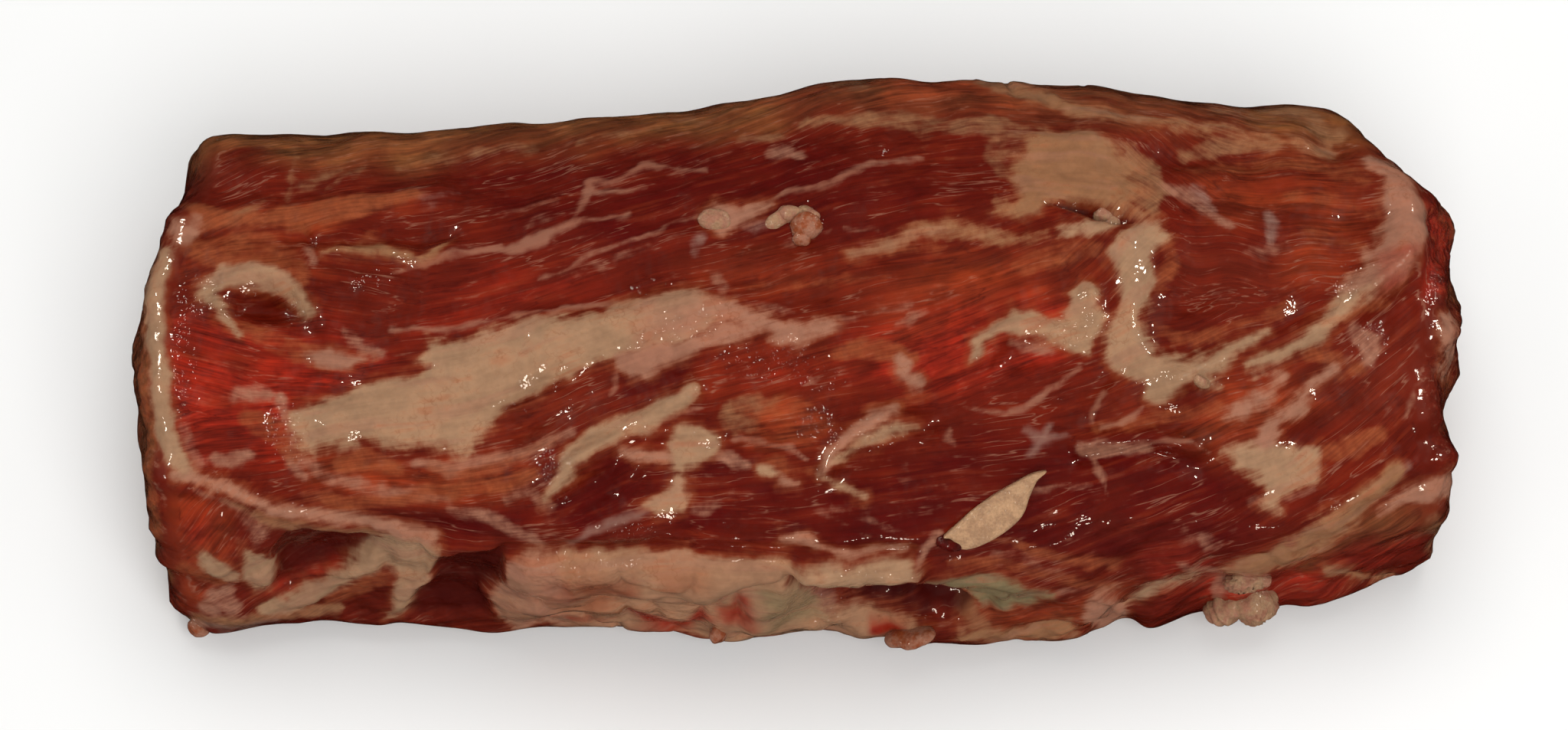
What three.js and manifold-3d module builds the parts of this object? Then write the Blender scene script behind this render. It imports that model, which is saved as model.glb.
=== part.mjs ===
// A raw, boneless lamb rib eye: one block of several muscles, cut square at both ends, lying on its flat side.
// Millimetres. X runs along the block, Y away from the near side, Z up, and its middle is over the origin.
// The base is flat, the ends lean out as they go down, and the near side rises to a ridge below a domed top.

import * as THREE from "three";
import { mergeVertices } from "three/addons/utils/BufferGeometryUtils.js";
import Module from "manifold-3d";

// ---- Driving dimensions ----

const HALF_LENGTH = 95; // stations along the block are given from the middle
const CREST_HEIGHT = 46; // of the domed top, at its highest station
const END_ROUNDING = 4; // radius of the edge round each cut end
const MIDDLE = [0.3, 1.9]; // of the whole piece in plan, from the point where the dimensions start
const MEAT_COLOUR = 0x8c2a1c;

// The block's plan and heights, as [station, value] pairs with smooth curves between them.
const FAR_SIDE = [
  [-95, 34.8], [-80, 34.6], [-68, 35.2], [-40, 35.6], [-7, 38.9], [15, 42.1], [30, 43.2], [42, 42.9],
  [54, 42.1], [66, 40.6], [78, 40], [95, 39.4],
];
const NEAR_SIDE = [
  [-95, -35.4], [-70, -33.8], [-48, -35.4], [-32, -35.2], [-20, -35.6], [-6, -36.8], [8, -35.2], [28, -36.9],
  [43, -36.2], [49, -36], [55, -33.6], [61, -35], [67, -32], [73, -33.3], [79, -31], [85, -31.4], [95, -27.8],
];
// The ridge above the near side.
const RIDGE = [
  [-95, -26.9], [-70, -26.4], [-48, -30.4], [-32, -32.2], [-6, -34.2], [15, -34], [43, -31.4], [67, -27.4],
  [95, -22.8],
];
const RIDGE_HEIGHT = [[-95, 36], [-50, 36], [0, 35], [50, 33], [95, 31]];
const CREST = [[-95, 42], [-60, 44.5], [0, CREST_HEIGHT], [50, 45], [95, 41.5]];
const SHOULDER_HEIGHT = [[-95, 35], [-40, 36], [27, 37], [95, 34]]; // where the far side turns down

// The rims of the two ends in plan, as [distance from the near side to the far side, station] pairs.
const LEFT_RIM = [
  [-37, -84.6], [-31, -87.6], [-18, -89.6], [0, -90.8], [12, -88.1], [22, -84.8], [31, -85.2], [37, -85],
];
const RIGHT_RIM = [
  [-36, 80], [-30, 85.4], [-22, 88.4], [-8, 87.4], [0, 90.2], [14, 88.4], [20, 88.4], [24.5, 83], [28, 81.4],
  [31, 79.5], [37, 76.6],
];

// How far the foot of each end stands out past its rim, as [distance, lean] pairs.
const LEFT_LEAN = [[-37, 2], [0, 3.2], [20, 3], [37, 3.2]];
const RIGHT_LEAN = [[-36, 3], [-10, 4], [8, 4.2], [20, 5.4], [24, 5.4], [30, 3], [37, 2]];
const LEAN_HEIGHT = 26; // down to here the ends lean out, and below it they stand upright

// The mesh: steps from end to end, and steps in each stretch of a section, from the base round to it again.
const STATIONS = 66;
const SECTION_STEPS = [2, 2, 3, 5, 5, 9, 9, 8, 5, 4, 3, 2, 2, 2];
const ROUNDING_STEPS = 3;
const CAP_SCALES = [0.8, 0.6, 0.4, 0.2]; // rings of an end face, shrinking to its centre
const NODULE_STEPS = [8, 6]; // round a nodule and from top to bottom
const SLIVER_STEPS = 3; // from one point of its outline to the next
const WELD = 1e-4; // vertices closer than this are one

// ---- Relief ----

// The relief is laid out as the block is seen by somebody standing at its near side and looking down at it:
// "across" runs to the right, "up" runs away over the near side and the top.
const LOOK_DOWN = THREE.MathUtils.degToRad(70);
const LOOK_DISTANCE = 700;
const LOOK_AT = new THREE.Vector3(0, 0, 23);
const TOWARDS_EYE = new THREE.Vector3(0, -Math.cos(LOOK_DOWN), Math.sin(LOOK_DOWN));
const UP_THE_VIEW = new THREE.Vector3(0, Math.sin(LOOK_DOWN), Math.cos(LOOK_DOWN));

// Bands of fat, tendons and the edges of muscles stand up, and the seams between them sink in.
// Each runs along a line of [across, up] points, with a half width and a rise.
const BANDS = [
  {
    what: "band of orange fat", half: 2.2, rise: 1.3,
    line: [[-88, 20], [-71, 21], [-61, 22], [-51, 23.4]],
  },
  { what: "seam below it", half: 1.4, rise: -1.2, line: [[-72, 18], [-61, 17.2], [-50, 17.6]] },
  {
    what: "arched rim of fat", half: 1.7, rise: 1.3,
    line: [[-83, 7], [-81, 10.5], [-77, 12.3], [-72, 12], [-69, 9], [-67.5, 5.5]],
  },
  { what: "fold of fat", half: 1.3, rise: 1, line: [[-65, 16], [-58, 16.6], [-54, 14], [-49.5, 16]] },
  { what: "sheet of fat, left", half: 5, rise: 0.8, line: [[-64, -8], [-56, -4], [-46, 0], [-36, 2]] },
  {
    what: "sheet of fat, middle", half: 3, rise: 1.3,
    line: [[-36, 2], [-26, 5.5], [-15, 7.6], [-3, 5.8], [4, 5]],
  },
  {
    what: "strip of fat", half: 1.8, rise: 2,
    line: [[-35.6, -18.2], [-31, -14.2], [-24, -10], [-15, -4.5]],
  },
  {
    what: "bar of fat behind it", half: 1.6, rise: 1,
    line: [[-15, -9.5], [-21, -10.5], [-22.5, -14], [-25, -17.5]],
  },
  {
    what: "torn fat in the middle", half: 1.7, rise: 1.6,
    line: [[4, -15.8], [7, -11], [13, -8], [18, -9.5]],
  },
  {
    what: "fat round the red pocket", half: 1.7, rise: 1.5,
    line: [[27, 0.5], [30, 4.6], [36, 4.4], [41, 3], [43.5, 6], [42, 9.5]],
  },
  {
    what: "pillar of fat", half: 2.6, rise: 1.4,
    line: [[46, 16.5], [47.5, 11], [47, 4], [50, -0.5], [54, -3]],
  },
  {
    what: "long band of fat", half: 1.6, rise: 1.2,
    line: [[54, -2.5], [64, 2], [72, 3.5], [80, 8], [87, 14]],
  },
  {
    what: "rim of fat at the right end", half: 3, rise: 1.8,
    line: [[80, 9], [86, 13], [88, 19], [85, 24], [80, 27.5]],
  },
  { what: "crease inside that rim", half: 1.4, rise: -1.2, line: [[90.5, 10], [91.5, 16], [91, 20]] },
  {
    what: "diagonal fat, lower right", half: 2, rise: 1.1,
    line: [[57, -27.5], [66, -25], [78, -19.5], [86, -15.5], [93, -13.5]],
  },
  { what: "edge of the dark muscle", half: 1.3, rise: 1.2, line: [[40, -11.8], [50, -10.6], [57, -12.4]] },
  { what: "seam below that edge", half: 1.3, rise: -0.8, line: [[41, -13.8], [50, -13], [58, -15]] },
  {
    what: "fatty crest of the near ridge, left", half: 1.5, rise: 1,
    line: [[-90, -17.5], [-80, -19.5], [-70, -22.4], [-60, -24], [-50, -27]],
  },
  {
    what: "seam above the fat slab", half: 1, rise: -0.9,
    line: [[-42, -27.4], [-20, -26.4], [0, -27], [16, -27]],
  },
  {
    what: "fat slab on the near side", half: 3.6, rise: 1.3,
    line: [[-38, -31.5], [-25, -31.5], [-12, -32]],
  },
  { what: "roll of fat", half: 1.7, rise: 2.3, line: [[1, -30.2], [9, -30.6], [16.5, -29.6]] },
  {
    what: "gap below the roll", half: 1.5, rise: -2.6,
    line: [[0, -32.2], [9, -34], [19, -34.6], [27, -35]],
  },
  { what: "fold of fat below the gap", half: 1.8, rise: 1.1, line: [[-6, -36], [6, -37], [17, -38.5]] },
  {
    what: "fat below the dark muscle", half: 1.6, rise: 1.1,
    line: [[18, -30.6], [28, -31.6], [38, -32.6], [46, -31.4], [55, -28.4]],
  },
  { what: "fatty far fold", half: 2.4, rise: 0.9, line: [[26, 33.5], [40, 31], [55, 33.4], [72, 32]] },
  { what: "seam below the far fold", half: 1.6, rise: -0.8, line: [[38, 27], [52, 28.6], [66, 28.4]] },
];

// Round swellings and hollows: centre, half length, half width, turn of the long axis in degrees, and rise.
const MOUNDS = [
  { what: "dark muscle, far left", at: [-77, 26.5], long: 7, wide: 4.5, turn: 0, rise: 1.3 },
  { what: "hollow under the arch", at: [-75, 7.6], long: 5, wide: 2.6, turn: 0, rise: -2.8 },
  { what: "bright muscle, left", at: [-84, -2], long: 6, wide: 9, turn: 0, rise: 1 },
  { what: "dark spindle of muscle", at: [-36, -7], long: 12, wide: 3.4, turn: 28, rise: -2.2 },
  { what: "dark wedge of muscle", at: [-26, -17.5], long: 8, wide: 3, turn: 20, rise: -1.3 },
  { what: "glossy knuckle", at: [-3, -9.5], long: 8.5, wide: 4.6, turn: -8, rise: 2.2 },
  { what: "red swelling above it", at: [-7, 0], long: 9, wide: 3.2, turn: 10, rise: 1.2 },
  { what: "long upper muscle", at: [-20, 20], long: 38, wide: 7, turn: 8, rise: 1.4 },
  { what: "right upper muscle", at: [66, 18], long: 16, wide: 8, turn: -6, rise: 1.2 },
  { what: "hollow beside the pillar", at: [57, 9], long: 6, wide: 5, turn: 0, rise: -1 },
  { what: "slit in the upper fat", at: [43, 21.3], long: 5, wide: 1.3, turn: -16, rise: -2 },
  { what: "dark notch in the middle", at: [45, -4.6], long: 5, wide: 2, turn: 50, rise: -1.4 },
  { what: "lower muscle", at: [52, -19.5], long: 18, wide: 5, turn: 0, rise: 1 },
  { what: "pocket on the near side", at: [-68.5, -28.6], long: 7.5, wide: 2.8, turn: 18, rise: -3.4 },
  { what: "recess on the near side", at: [-48.5, -33], long: 6.5, wide: 4, turn: -24, rise: -2.8 },
  { what: "knob of fat by the left corner", at: [-81, -28.6], long: 3.8, wide: 2.2, turn: -14, rise: 1.5 },
  { what: "knob of fat by the pocket", at: [-76, -28.4], long: 2.6, wide: 3.6, turn: 0, rise: 1.6 },
  { what: "round end of a vessel", at: [-81, -34.6], long: 3.2, wide: 2.2, turn: 0, rise: 1.5 },
  { what: "pale lump under the right side", at: [42, -34.6], long: 5.5, wide: 3.4, turn: 0, rise: 1.1 },
  { what: "sunken corner, far right", at: [77, 31], long: 6, wide: 2.6, turn: -40, rise: -1.6 },
];

// Small pieces that stand clear of the surface: centre, half sizes along, up and out, and turn in degrees.
const NODULES = [
  { what: "gristly nodule", at: [1.3, 19.5], half: [2.3, 2.2, 1.8], turn: 0 },
  { what: "wet tip of the nodule", at: [0.5, 17.5], half: [1.3, 1.3, 1.4], turn: 0 },
  { what: "curl of fat, left", at: [-2.9, 20.2], half: [2, 1.2, 1], turn: 30 },
  { what: "curl of fat, middle", at: [-0.9, 21.2], half: [2.2, 1.2, 1.3], turn: -2 },
  { what: "curl of fat, right", at: [1.8, 20.9], half: [2, 1.1, 1.2], turn: -35 },
  { what: "pale bead beside it", at: [-11.8, 20.2], half: [2.3, 1.6, 1], turn: 0 },
  { what: "bead on the upper fat", at: [43.4, 20.6], half: [1.5, 1.6, 1.1], turn: 20 },
  { what: "right half of that bead", at: [44.9, 20], half: [1.4, 1.9, 1.1], turn: 50 },
  { what: "peg of fat", at: [58, -3], half: [1.7, 0.9, 1], turn: -15 },
  { what: "knob below the right side, left lobe", at: [60.9, -35.2], half: [3, 2.3, 2.6], turn: -10 },
  { what: "knob below the right side, right lobe", at: [65.1, -34.4], half: [3.6, 3.2, 3.2], turn: 15 },
  { what: "knob below the right side, top", at: [64.4, -31.4], half: [3.4, 2, 1.6], turn: 10 },
  { what: "tag on the near foot", at: [15.8, -39.2], half: [4.2, 1.5, 2.2], turn: -14 },
  { what: "smaller tag on the near foot", at: [-11.4, -38.8], half: [2, 1.2, 1.6], turn: 8 },
  { what: "tag at the left corner", at: [-86.2, -38], half: [1.7, 1.5, 1.6], turn: 30 },
];

// A cut sliver of gristle that stands up from the lower muscle: its outline, thickness, lift and lean.
const SLIVER = {
  outline: [
    [20.8, -25], [22.8, -22.9], [25.5, -20.5], [30.3, -17.5], [33.2, -16], [35, -15.7], [33.7, -17.1],
    [32.7, -19.3], [31.7, -21.9], [28.9, -24.5], [24.8, -26.5], [23.1, -26.5], [21.8, -25.2],
  ],
  thickness: 1.6,
  bevel: 0.3,
  lift: 2,
  lean: THREE.MathUtils.degToRad(-8),
};

// Unevenness that is everywhere: [wave length, height] of each of the waves that make it up.
const UNEVENNESS = [[34, 0.5], [15, 0.35], [9, 0.25]];
const UNEVENNESS_SEED = 7;
const WITH_THE_GRAIN = new THREE.Vector3(0.55, 0.4, 0.3);
const OVER_THE_GRAIN = new THREE.Vector3(-0.35, 0.9, 0.8);
const CALM_HEIGHT = 5; // below this height the relief and unevenness die away, so that the base stays flat
const FACING = [-0.05, 0.3]; // how far a surface faces the eye where the relief starts and where it is whole

// ---- Helpers ----

const { lerp, clamp, smoothstep, mapLinear, degToRad } = THREE.MathUtils;

// A smooth curve through [position, value] pairs, as a function of position.
function graph(pairs) {
  const spacing = (i) => pairs[i + 1][0] - pairs[i][0];
  const slope = (i) => {
    const before = Math.max(0, i - 1);
    const after = Math.min(pairs.length - 1, i + 1);
    return (pairs[after][1] - pairs[before][1]) / (pairs[after][0] - pairs[before][0]);
  };
  return (position) => {
    const at = clamp(position, pairs[0][0], pairs[pairs.length - 1][0]);
    let i = 0;
    while (i < pairs.length - 2 && at > pairs[i + 1][0]) i += 1;
    const t = (at - pairs[i][0]) / spacing(i);
    const [start, end] = [pairs[i][1], pairs[i + 1][1]];
    const [leaving, arriving] = [slope(i) * spacing(i), slope(i + 1) * spacing(i)];
    return (
      (2 * t ** 3 - 3 * t ** 2 + 1) * start + (t ** 3 - 2 * t ** 2 + t) * leaving +
      (3 * t ** 2 - 2 * t ** 3) * end + (t ** 3 - t ** 2) * arriving
    );
  };
}

// Where a point of the block appears to the eye, as [across, up] in millimetres at the block's middle.
function seen(point) {
  const away = point.clone().sub(LOOK_AT);
  const nearness = LOOK_DISTANCE / (LOOK_DISTANCE - away.dot(TOWARDS_EYE));
  return [away.x * nearness, away.dot(UP_THE_VIEW) * nearness];
}

function distanceToLine([across, up], line) {
  const point = new THREE.Vector2(across, up);
  const steps = line.slice(1).map((end, i) => {
    const start = new THREE.Vector2(...line[i]);
    const step = new THREE.Vector2(...end).sub(start);
    const share = clamp(point.clone().sub(start).dot(step) / step.lengthSq(), 0, 1);
    return point.distanceTo(start.addScaledVector(step, share));
  });
  return Math.min(...steps);
}

const bell = (distance) => Math.exp(-(distance ** 2));

function mound([across, up], { at, long, wide, turn }) {
  const offset = new THREE.Vector2(across - at[0], up - at[1]);
  offset.rotateAround(new THREE.Vector2(), -degToRad(turn));
  return bell(Math.hypot(offset.x / long, offset.y / wide));
}

// How far the surface stands up at a place in the view.
function relief(place) {
  const bands = BANDS.map((band) => band.rise * bell(distanceToLine(place, band.line) / band.half));
  const mounds = MOUNDS.map((swelling) => swelling.rise * mound(place, swelling));
  return [...bands, ...mounds].reduce((sum, rise) => sum + rise, 0);
}

// Two sets of waves that cross on every side of the block, drawn out along the grain.
function unevenness(point) {
  return UNEVENNESS.reduce((sum, [wave, height], i) => {
    const turn = (2 * Math.PI) / wave;
    const phase = UNEVENNESS_SEED * (i + 1);
    const along = Math.sin(turn * point.dot(WITH_THE_GRAIN) + phase);
    const across = Math.sin(turn * point.dot(OVER_THE_GRAIN) + 2 * phase);
    return sum + height * (along * across + 0.4 * across);
  }, 0);
}

// ---- The block ----

const farSide = graph(FAR_SIDE);
const nearSide = graph(NEAR_SIDE);
const ridgeLine = graph(RIDGE);
const ridgeHeight = graph(RIDGE_HEIGHT);
const crest = graph(CREST);
const shoulderHeight = graph(SHOULDER_HEIGHT);
const leftRim = graph(LEFT_RIM);
const rightRim = graph(RIGHT_RIM);
const leftLean = graph(LEFT_LEAN);
const rightLean = graph(RIGHT_LEAN);

// One section across the block, from the middle of the base round by the near side. Its corners are the middle
// of the base, the near foot, the near side, the ridge, the crest, the shoulder, the far side and the far foot.
function section(station) {
  const near = nearSide(station);
  const far = farSide(station);
  const ridge = ridgeLine(station);
  const top = crest(station);
  const middle = (near + far) / 2;
  const shoulder = shoulderHeight(station);
  const corners = [
    [middle, 0],
    [near + 13, 0],
    [near + 5, 0.4],
    [near + 0.6, 5],
    [lerp(near, ridge, 0.3), ridgeHeight(station) / 2],
    [ridge, ridgeHeight(station)],
    [lerp(ridge, middle, 0.45), lerp(ridgeHeight(station), top, 0.72)],
    [middle + 3, top],
    [lerp(middle, far, 0.6), lerp(top, shoulder, 0.45)],
    [far - 5, shoulder - 1],
    [far, shoulder / 2 + 3],
    [far - 2, 5],
    [far - 7, 0.3],
    [far - 15, 0],
  ];
  const curve = new THREE.CatmullRomCurve3(
    corners.map(([y, z]) => new THREE.Vector3(0, y, z)), true, "centripetal",
  );
  return SECTION_STEPS.flatMap((steps, stretch) =>
    Array.from({ length: steps }, (_, i) => curve.getPoint((stretch + i / steps) / corners.length)),
  );
}

// Each ring says where it is along the block, how far in from the end it starts, and how much it is shrunk.
function ringPlan() {
  const roundings = Array.from({ length: ROUNDING_STEPS }, (_, i) => {
    const turn = (Math.PI / 2) * (1 - (i + 0.5) / ROUNDING_STEPS);
    return { inset: END_ROUNDING * (1 - Math.cos(turn)), depth: END_ROUNDING * (1 - Math.sin(turn)) };
  });
  const start = [
    ...[...CAP_SCALES].reverse().map((scale) => ({ share: 0, depth: 0, inset: END_ROUNDING, scale })),
    ...roundings.map((edge) => ({ share: 0, scale: 1, ...edge })),
  ];
  const middle = Array.from({ length: STATIONS + 1 }, (_, i) => ({
    share: i / STATIONS, depth: END_ROUNDING, inset: 0, scale: 1,
  }));
  const end = [...start].reverse().map((ring) => ({ ...ring, share: 1 }));
  return [...start, ...middle, ...end];
}

// The place along the block for a share of its length, at a distance from the near side and a height.
function alongBlock(share, depth, y, z) {
  const leaning = smoothstep(CREST_HEIGHT - z, 0, CREST_HEIGHT - LEAN_HEIGHT);
  const left = leftRim(y) - leaning * leftLean(y);
  const right = rightRim(y) + leaning * rightLean(y);
  return lerp(left + depth, right - depth, share);
}

function ringPoints({ share, depth, inset, scale }) {
  const outline = section(mapLinear(share, 0, 1, -HALF_LENGTH, HALF_LENGTH));
  const bounds = new THREE.Box3().setFromPoints(outline);
  const centre = bounds.getCenter(new THREE.Vector3());
  const half = bounds.getSize(new THREE.Vector3()).multiplyScalar(0.5);
  return outline.map((point) => {
    const y = centre.y + (point.y - centre.y) * scale * (1 - inset / half.y);
    const z = centre.z + (point.z - centre.z) * scale * (1 - inset / half.z);
    return new THREE.Vector3(alongBlock(share, depth, y, z), y, Math.max(0, z));
  });
}

// A closed mesh over the points of rings, which end in the centres of the first and the last ring.
// Each square of the mesh is split along the diagonal that is picked for it.
function skin(points, around, pickDiagonal) {
  const [firstCentre, lastCentre] = [points.length - 2, points.length - 1];
  const lastRing = points.length - 2 - around;
  const faces = [];
  for (let j = 0; j < around; j += 1) {
    const next = (j + 1) % around;
    faces.push(firstCentre, j, next, lastCentre, lastRing + next, lastRing + j);
    for (let ring = 0; ring < lastRing; ring += around) {
      const square = [ring + j, ring + around + j, ring + around + next, ring + next];
      const [a, b, c, d] = pickDiagonal(square);
      faces.push(a, b, c, c, d, a);
    }
  }
  const geometry = new THREE.BufferGeometry().setFromPoints(points).setIndex(faces);
  geometry.computeVertexNormals();
  return geometry;
}

function vertices(geometry, name) {
  const attribute = geometry.getAttribute(name);
  const vector = (_, i) => new THREE.Vector3().fromBufferAttribute(attribute, i);
  return Array.from({ length: attribute.count }, vector);
}

function average(points) {
  return points.reduce((sum, point) => sum.add(point), new THREE.Vector3()).divideScalar(points.length);
}

// The place of a point of the plain block once the relief and the unevenness have moved it.
function raised(point, normal) {
  const facing = smoothstep(normal.dot(TOWARDS_EYE), ...FACING);
  const calm = smoothstep(point.z, 0, CALM_HEIGHT);
  const rise = calm * (facing * relief(seen(point)) + unevenness(point));
  const moved = point.clone().addScaledVector(normal, rise);
  return moved.setZ(Math.max(0, moved.z));
}

function block() {
  const rings = ringPlan().map(ringPoints);
  const around = rings[0].length;
  const points = [...rings.flat(), average(rings[0]), average(rings[rings.length - 1])];
  const normals = vertices(skin(points, around, (square) => square), "normal");
  const moved = points.map((point, i) => raised(point, normals[i]));
  const pickDiagonal = ([a, b, c, d]) => {
    const mean = (values) => average([a, b, c, d].map((i) => values[i]));
    const middle = raised(mean(points), mean(normals));
    const gap = (i, j) => average([moved[i], moved[j]]).distanceTo(middle);
    return gap(a, c) <= gap(b, d) ? [a, b, c, d] : [b, c, d, a];
  };
  return skin(moved, around, pickDiagonal);
}

// The point of a surface that appears at a place in the view, and the way out of the surface there.
function surfaceAt(geometry, place) {
  const points = vertices(geometry, "position");
  const normals = vertices(geometry, "normal");
  const facing = points.map((_, i) => i).filter((i) => normals[i].dot(TOWARDS_EYE) > 0);
  const gap = (i) => Math.hypot(...seen(points[i]).map((value, k) => value - place[k]));
  const nearest = facing.reduce((best, i) => (gap(i) < gap(best) ? i : best));
  const [across, up] = seen(points[nearest]);
  const point = points[nearest].clone();
  point.x += place[0] - across;
  point.addScaledVector(UP_THE_VIEW, place[1] - up);
  return { point, out: normals[nearest] };
}

// ---- What stands on the block ----

function nodule(surface, { at, half, turn }) {
  const { point, out } = surfaceAt(surface, at);
  const [long, wide, proud] = half;
  const lying = new THREE.Quaternion().setFromUnitVectors(new THREE.Vector3(0, 0, 1), out);
  const turned = new THREE.Quaternion().setFromAxisAngle(new THREE.Vector3(0, 0, 1), degToRad(turn));
  const placed = new THREE.Matrix4().compose(
    point, lying.multiply(turned), new THREE.Vector3(long, wide, proud),
  );
  return new THREE.SphereGeometry(1, ...NODULE_STEPS).applyMatrix4(placed);
}

// The sliver keeps the shape that the eye sees: its outline lies in the view, and it leans on its root.
function sliver(surface) {
  const { outline, thickness, bevel, lift, lean } = SLIVER;
  const root = outline[0];
  const corners = outline.map(([across, up]) => new THREE.Vector2(across - root[0], up - root[1]));
  const shape = new THREE.Shape(new THREE.SplineCurve(corners).getPoints(SLIVER_STEPS * outline.length));
  const plate = new THREE.ExtrudeGeometry(shape, {
    depth: thickness, bevelEnabled: true, bevelSize: bevel, bevelThickness: bevel, bevelSegments: 1,
  });
  const { point } = surfaceAt(surface, root);
  const upright = new THREE.Matrix4().makeBasis(new THREE.Vector3(1, 0, 0), UP_THE_VIEW, TOWARDS_EYE);
  const placed = upright
    .multiply(new THREE.Matrix4().makeRotationX(-lean))
    .setPosition(point.addScaledVector(TOWARDS_EYE, lift - thickness));
  return plate.applyMatrix4(placed);
}

// ---- Joining ----

const wasm = await Module();
wasm.setup();

function solid(geometry) {
  const bare = new THREE.BufferGeometry()
    .setAttribute("position", geometry.getAttribute("position"))
    .setIndex(geometry.index);
  const merged = mergeVertices(bare, WELD);
  return new wasm.Manifold(
    new wasm.Mesh({
      numProp: 3,
      vertProperties: new Float32Array(merged.attributes.position.array),
      triVerts: new Uint32Array(merged.index.array),
    }),
  );
}

function geometryOf(manifold) {
  const mesh = manifold.getMesh();
  return new THREE.BufferGeometry()
    .setAttribute("position", new THREE.BufferAttribute(mesh.vertProperties, 3))
    .setIndex(new THREE.BufferAttribute(mesh.triVerts, 1));
}

function lambRibEye() {
  const body = block();
  const extras = [...NODULES.map((each) => nodule(body, each)), sliver(body)];
  const whole = extras.reduce((sum, extra) => sum.add(solid(extra)), solid(body));
  const joined = whole.trimByPlane([0, 0, 1], 0);
  const material = new THREE.MeshStandardMaterial({ color: MEAT_COLOUR, roughness: 0.35, metalness: 0 });
  const mesh = new THREE.Mesh(geometryOf(joined), material);
  mesh.name = "lamb_rib_eye";
  mesh.position.set(-MIDDLE[0], -MIDDLE[1], 0);
  return mesh;
}

const group = new THREE.Group();
group.add(lambRibEye());

export default group;
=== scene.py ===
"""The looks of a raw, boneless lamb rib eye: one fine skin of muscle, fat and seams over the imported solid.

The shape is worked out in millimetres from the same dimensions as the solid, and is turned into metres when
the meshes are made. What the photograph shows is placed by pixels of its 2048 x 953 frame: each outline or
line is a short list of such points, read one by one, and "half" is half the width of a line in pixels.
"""

import bpy
import numpy as np
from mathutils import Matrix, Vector


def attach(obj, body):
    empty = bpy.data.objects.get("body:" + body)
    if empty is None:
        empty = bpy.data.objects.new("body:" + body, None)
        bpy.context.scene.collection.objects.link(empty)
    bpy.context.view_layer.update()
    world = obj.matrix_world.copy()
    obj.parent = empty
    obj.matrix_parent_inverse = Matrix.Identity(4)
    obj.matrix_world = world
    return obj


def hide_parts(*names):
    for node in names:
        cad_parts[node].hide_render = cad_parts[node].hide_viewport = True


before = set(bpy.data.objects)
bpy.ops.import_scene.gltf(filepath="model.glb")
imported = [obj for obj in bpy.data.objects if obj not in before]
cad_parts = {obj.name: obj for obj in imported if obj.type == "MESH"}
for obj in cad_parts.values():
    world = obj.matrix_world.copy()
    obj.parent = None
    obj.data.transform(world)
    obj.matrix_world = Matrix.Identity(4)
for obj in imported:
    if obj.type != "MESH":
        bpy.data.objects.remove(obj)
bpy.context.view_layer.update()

# ---- Dimensions of the block, in millimetres, as in the solid ----

MM = 0.001
HALF_LENGTH = 95.0
CREST_HEIGHT = 46.0
END_ROUNDING = 4.0
MIDDLE = np.array([0.3, 1.9, 0.0])  # of the whole piece in plan

FAR_SIDE = [
    (-95, 34.8), (-80, 34.6), (-68, 35.2), (-40, 35.6), (-7, 38.9), (15, 42.1), (30, 43.2), (42, 42.9),
    (54, 42.1), (66, 40.6), (78, 40), (95, 39.4),
]
NEAR_SIDE = [
    (-95, -35.4), (-70, -33.8), (-48, -35.4), (-32, -35.2), (-20, -35.6), (-6, -36.8), (8, -35.2),
    (28, -36.9), (43, -36.2), (49, -36), (55, -33.6), (61, -35), (67, -32), (73, -33.3), (79, -31),
    (85, -31.4), (95, -27.8),
]
RIDGE = [
    (-95, -26.9), (-70, -26.4), (-48, -30.4), (-32, -32.2), (-6, -34.2), (15, -34), (43, -31.4), (67, -27.4),
    (95, -22.8),
]
RIDGE_HEIGHT = [(-95, 36), (-50, 36), (0, 35), (50, 33), (95, 31)]
CREST = [(-95, 42), (-60, 44.5), (0, CREST_HEIGHT), (50, 45), (95, 41.5)]
SHOULDER_HEIGHT = [(-95, 35), (-40, 36), (27, 37), (95, 34)]
LEFT_RIM = [
    (-37, -84.6), (-31, -87.6), (-18, -89.6), (0, -90.8), (12, -88.1), (22, -84.8), (31, -85.2), (37, -85),
]
RIGHT_RIM = [
    (-36, 80), (-30, 85.4), (-22, 88.4), (-8, 87.4), (0, 90.2), (14, 88.4), (20, 88.4), (24.5, 83),
    (28, 81.4), (31, 79.5), (37, 76.6),
]
LEFT_LEAN = [(-37, 2), (0, 3.2), (20, 3), (37, 3.2)]
RIGHT_LEAN = [(-36, 3), (-10, 4), (8, 4.2), (20, 5.4), (24, 5.4), (30, 3), (37, 2)]
LEAN_HEIGHT = 26.0

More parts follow.
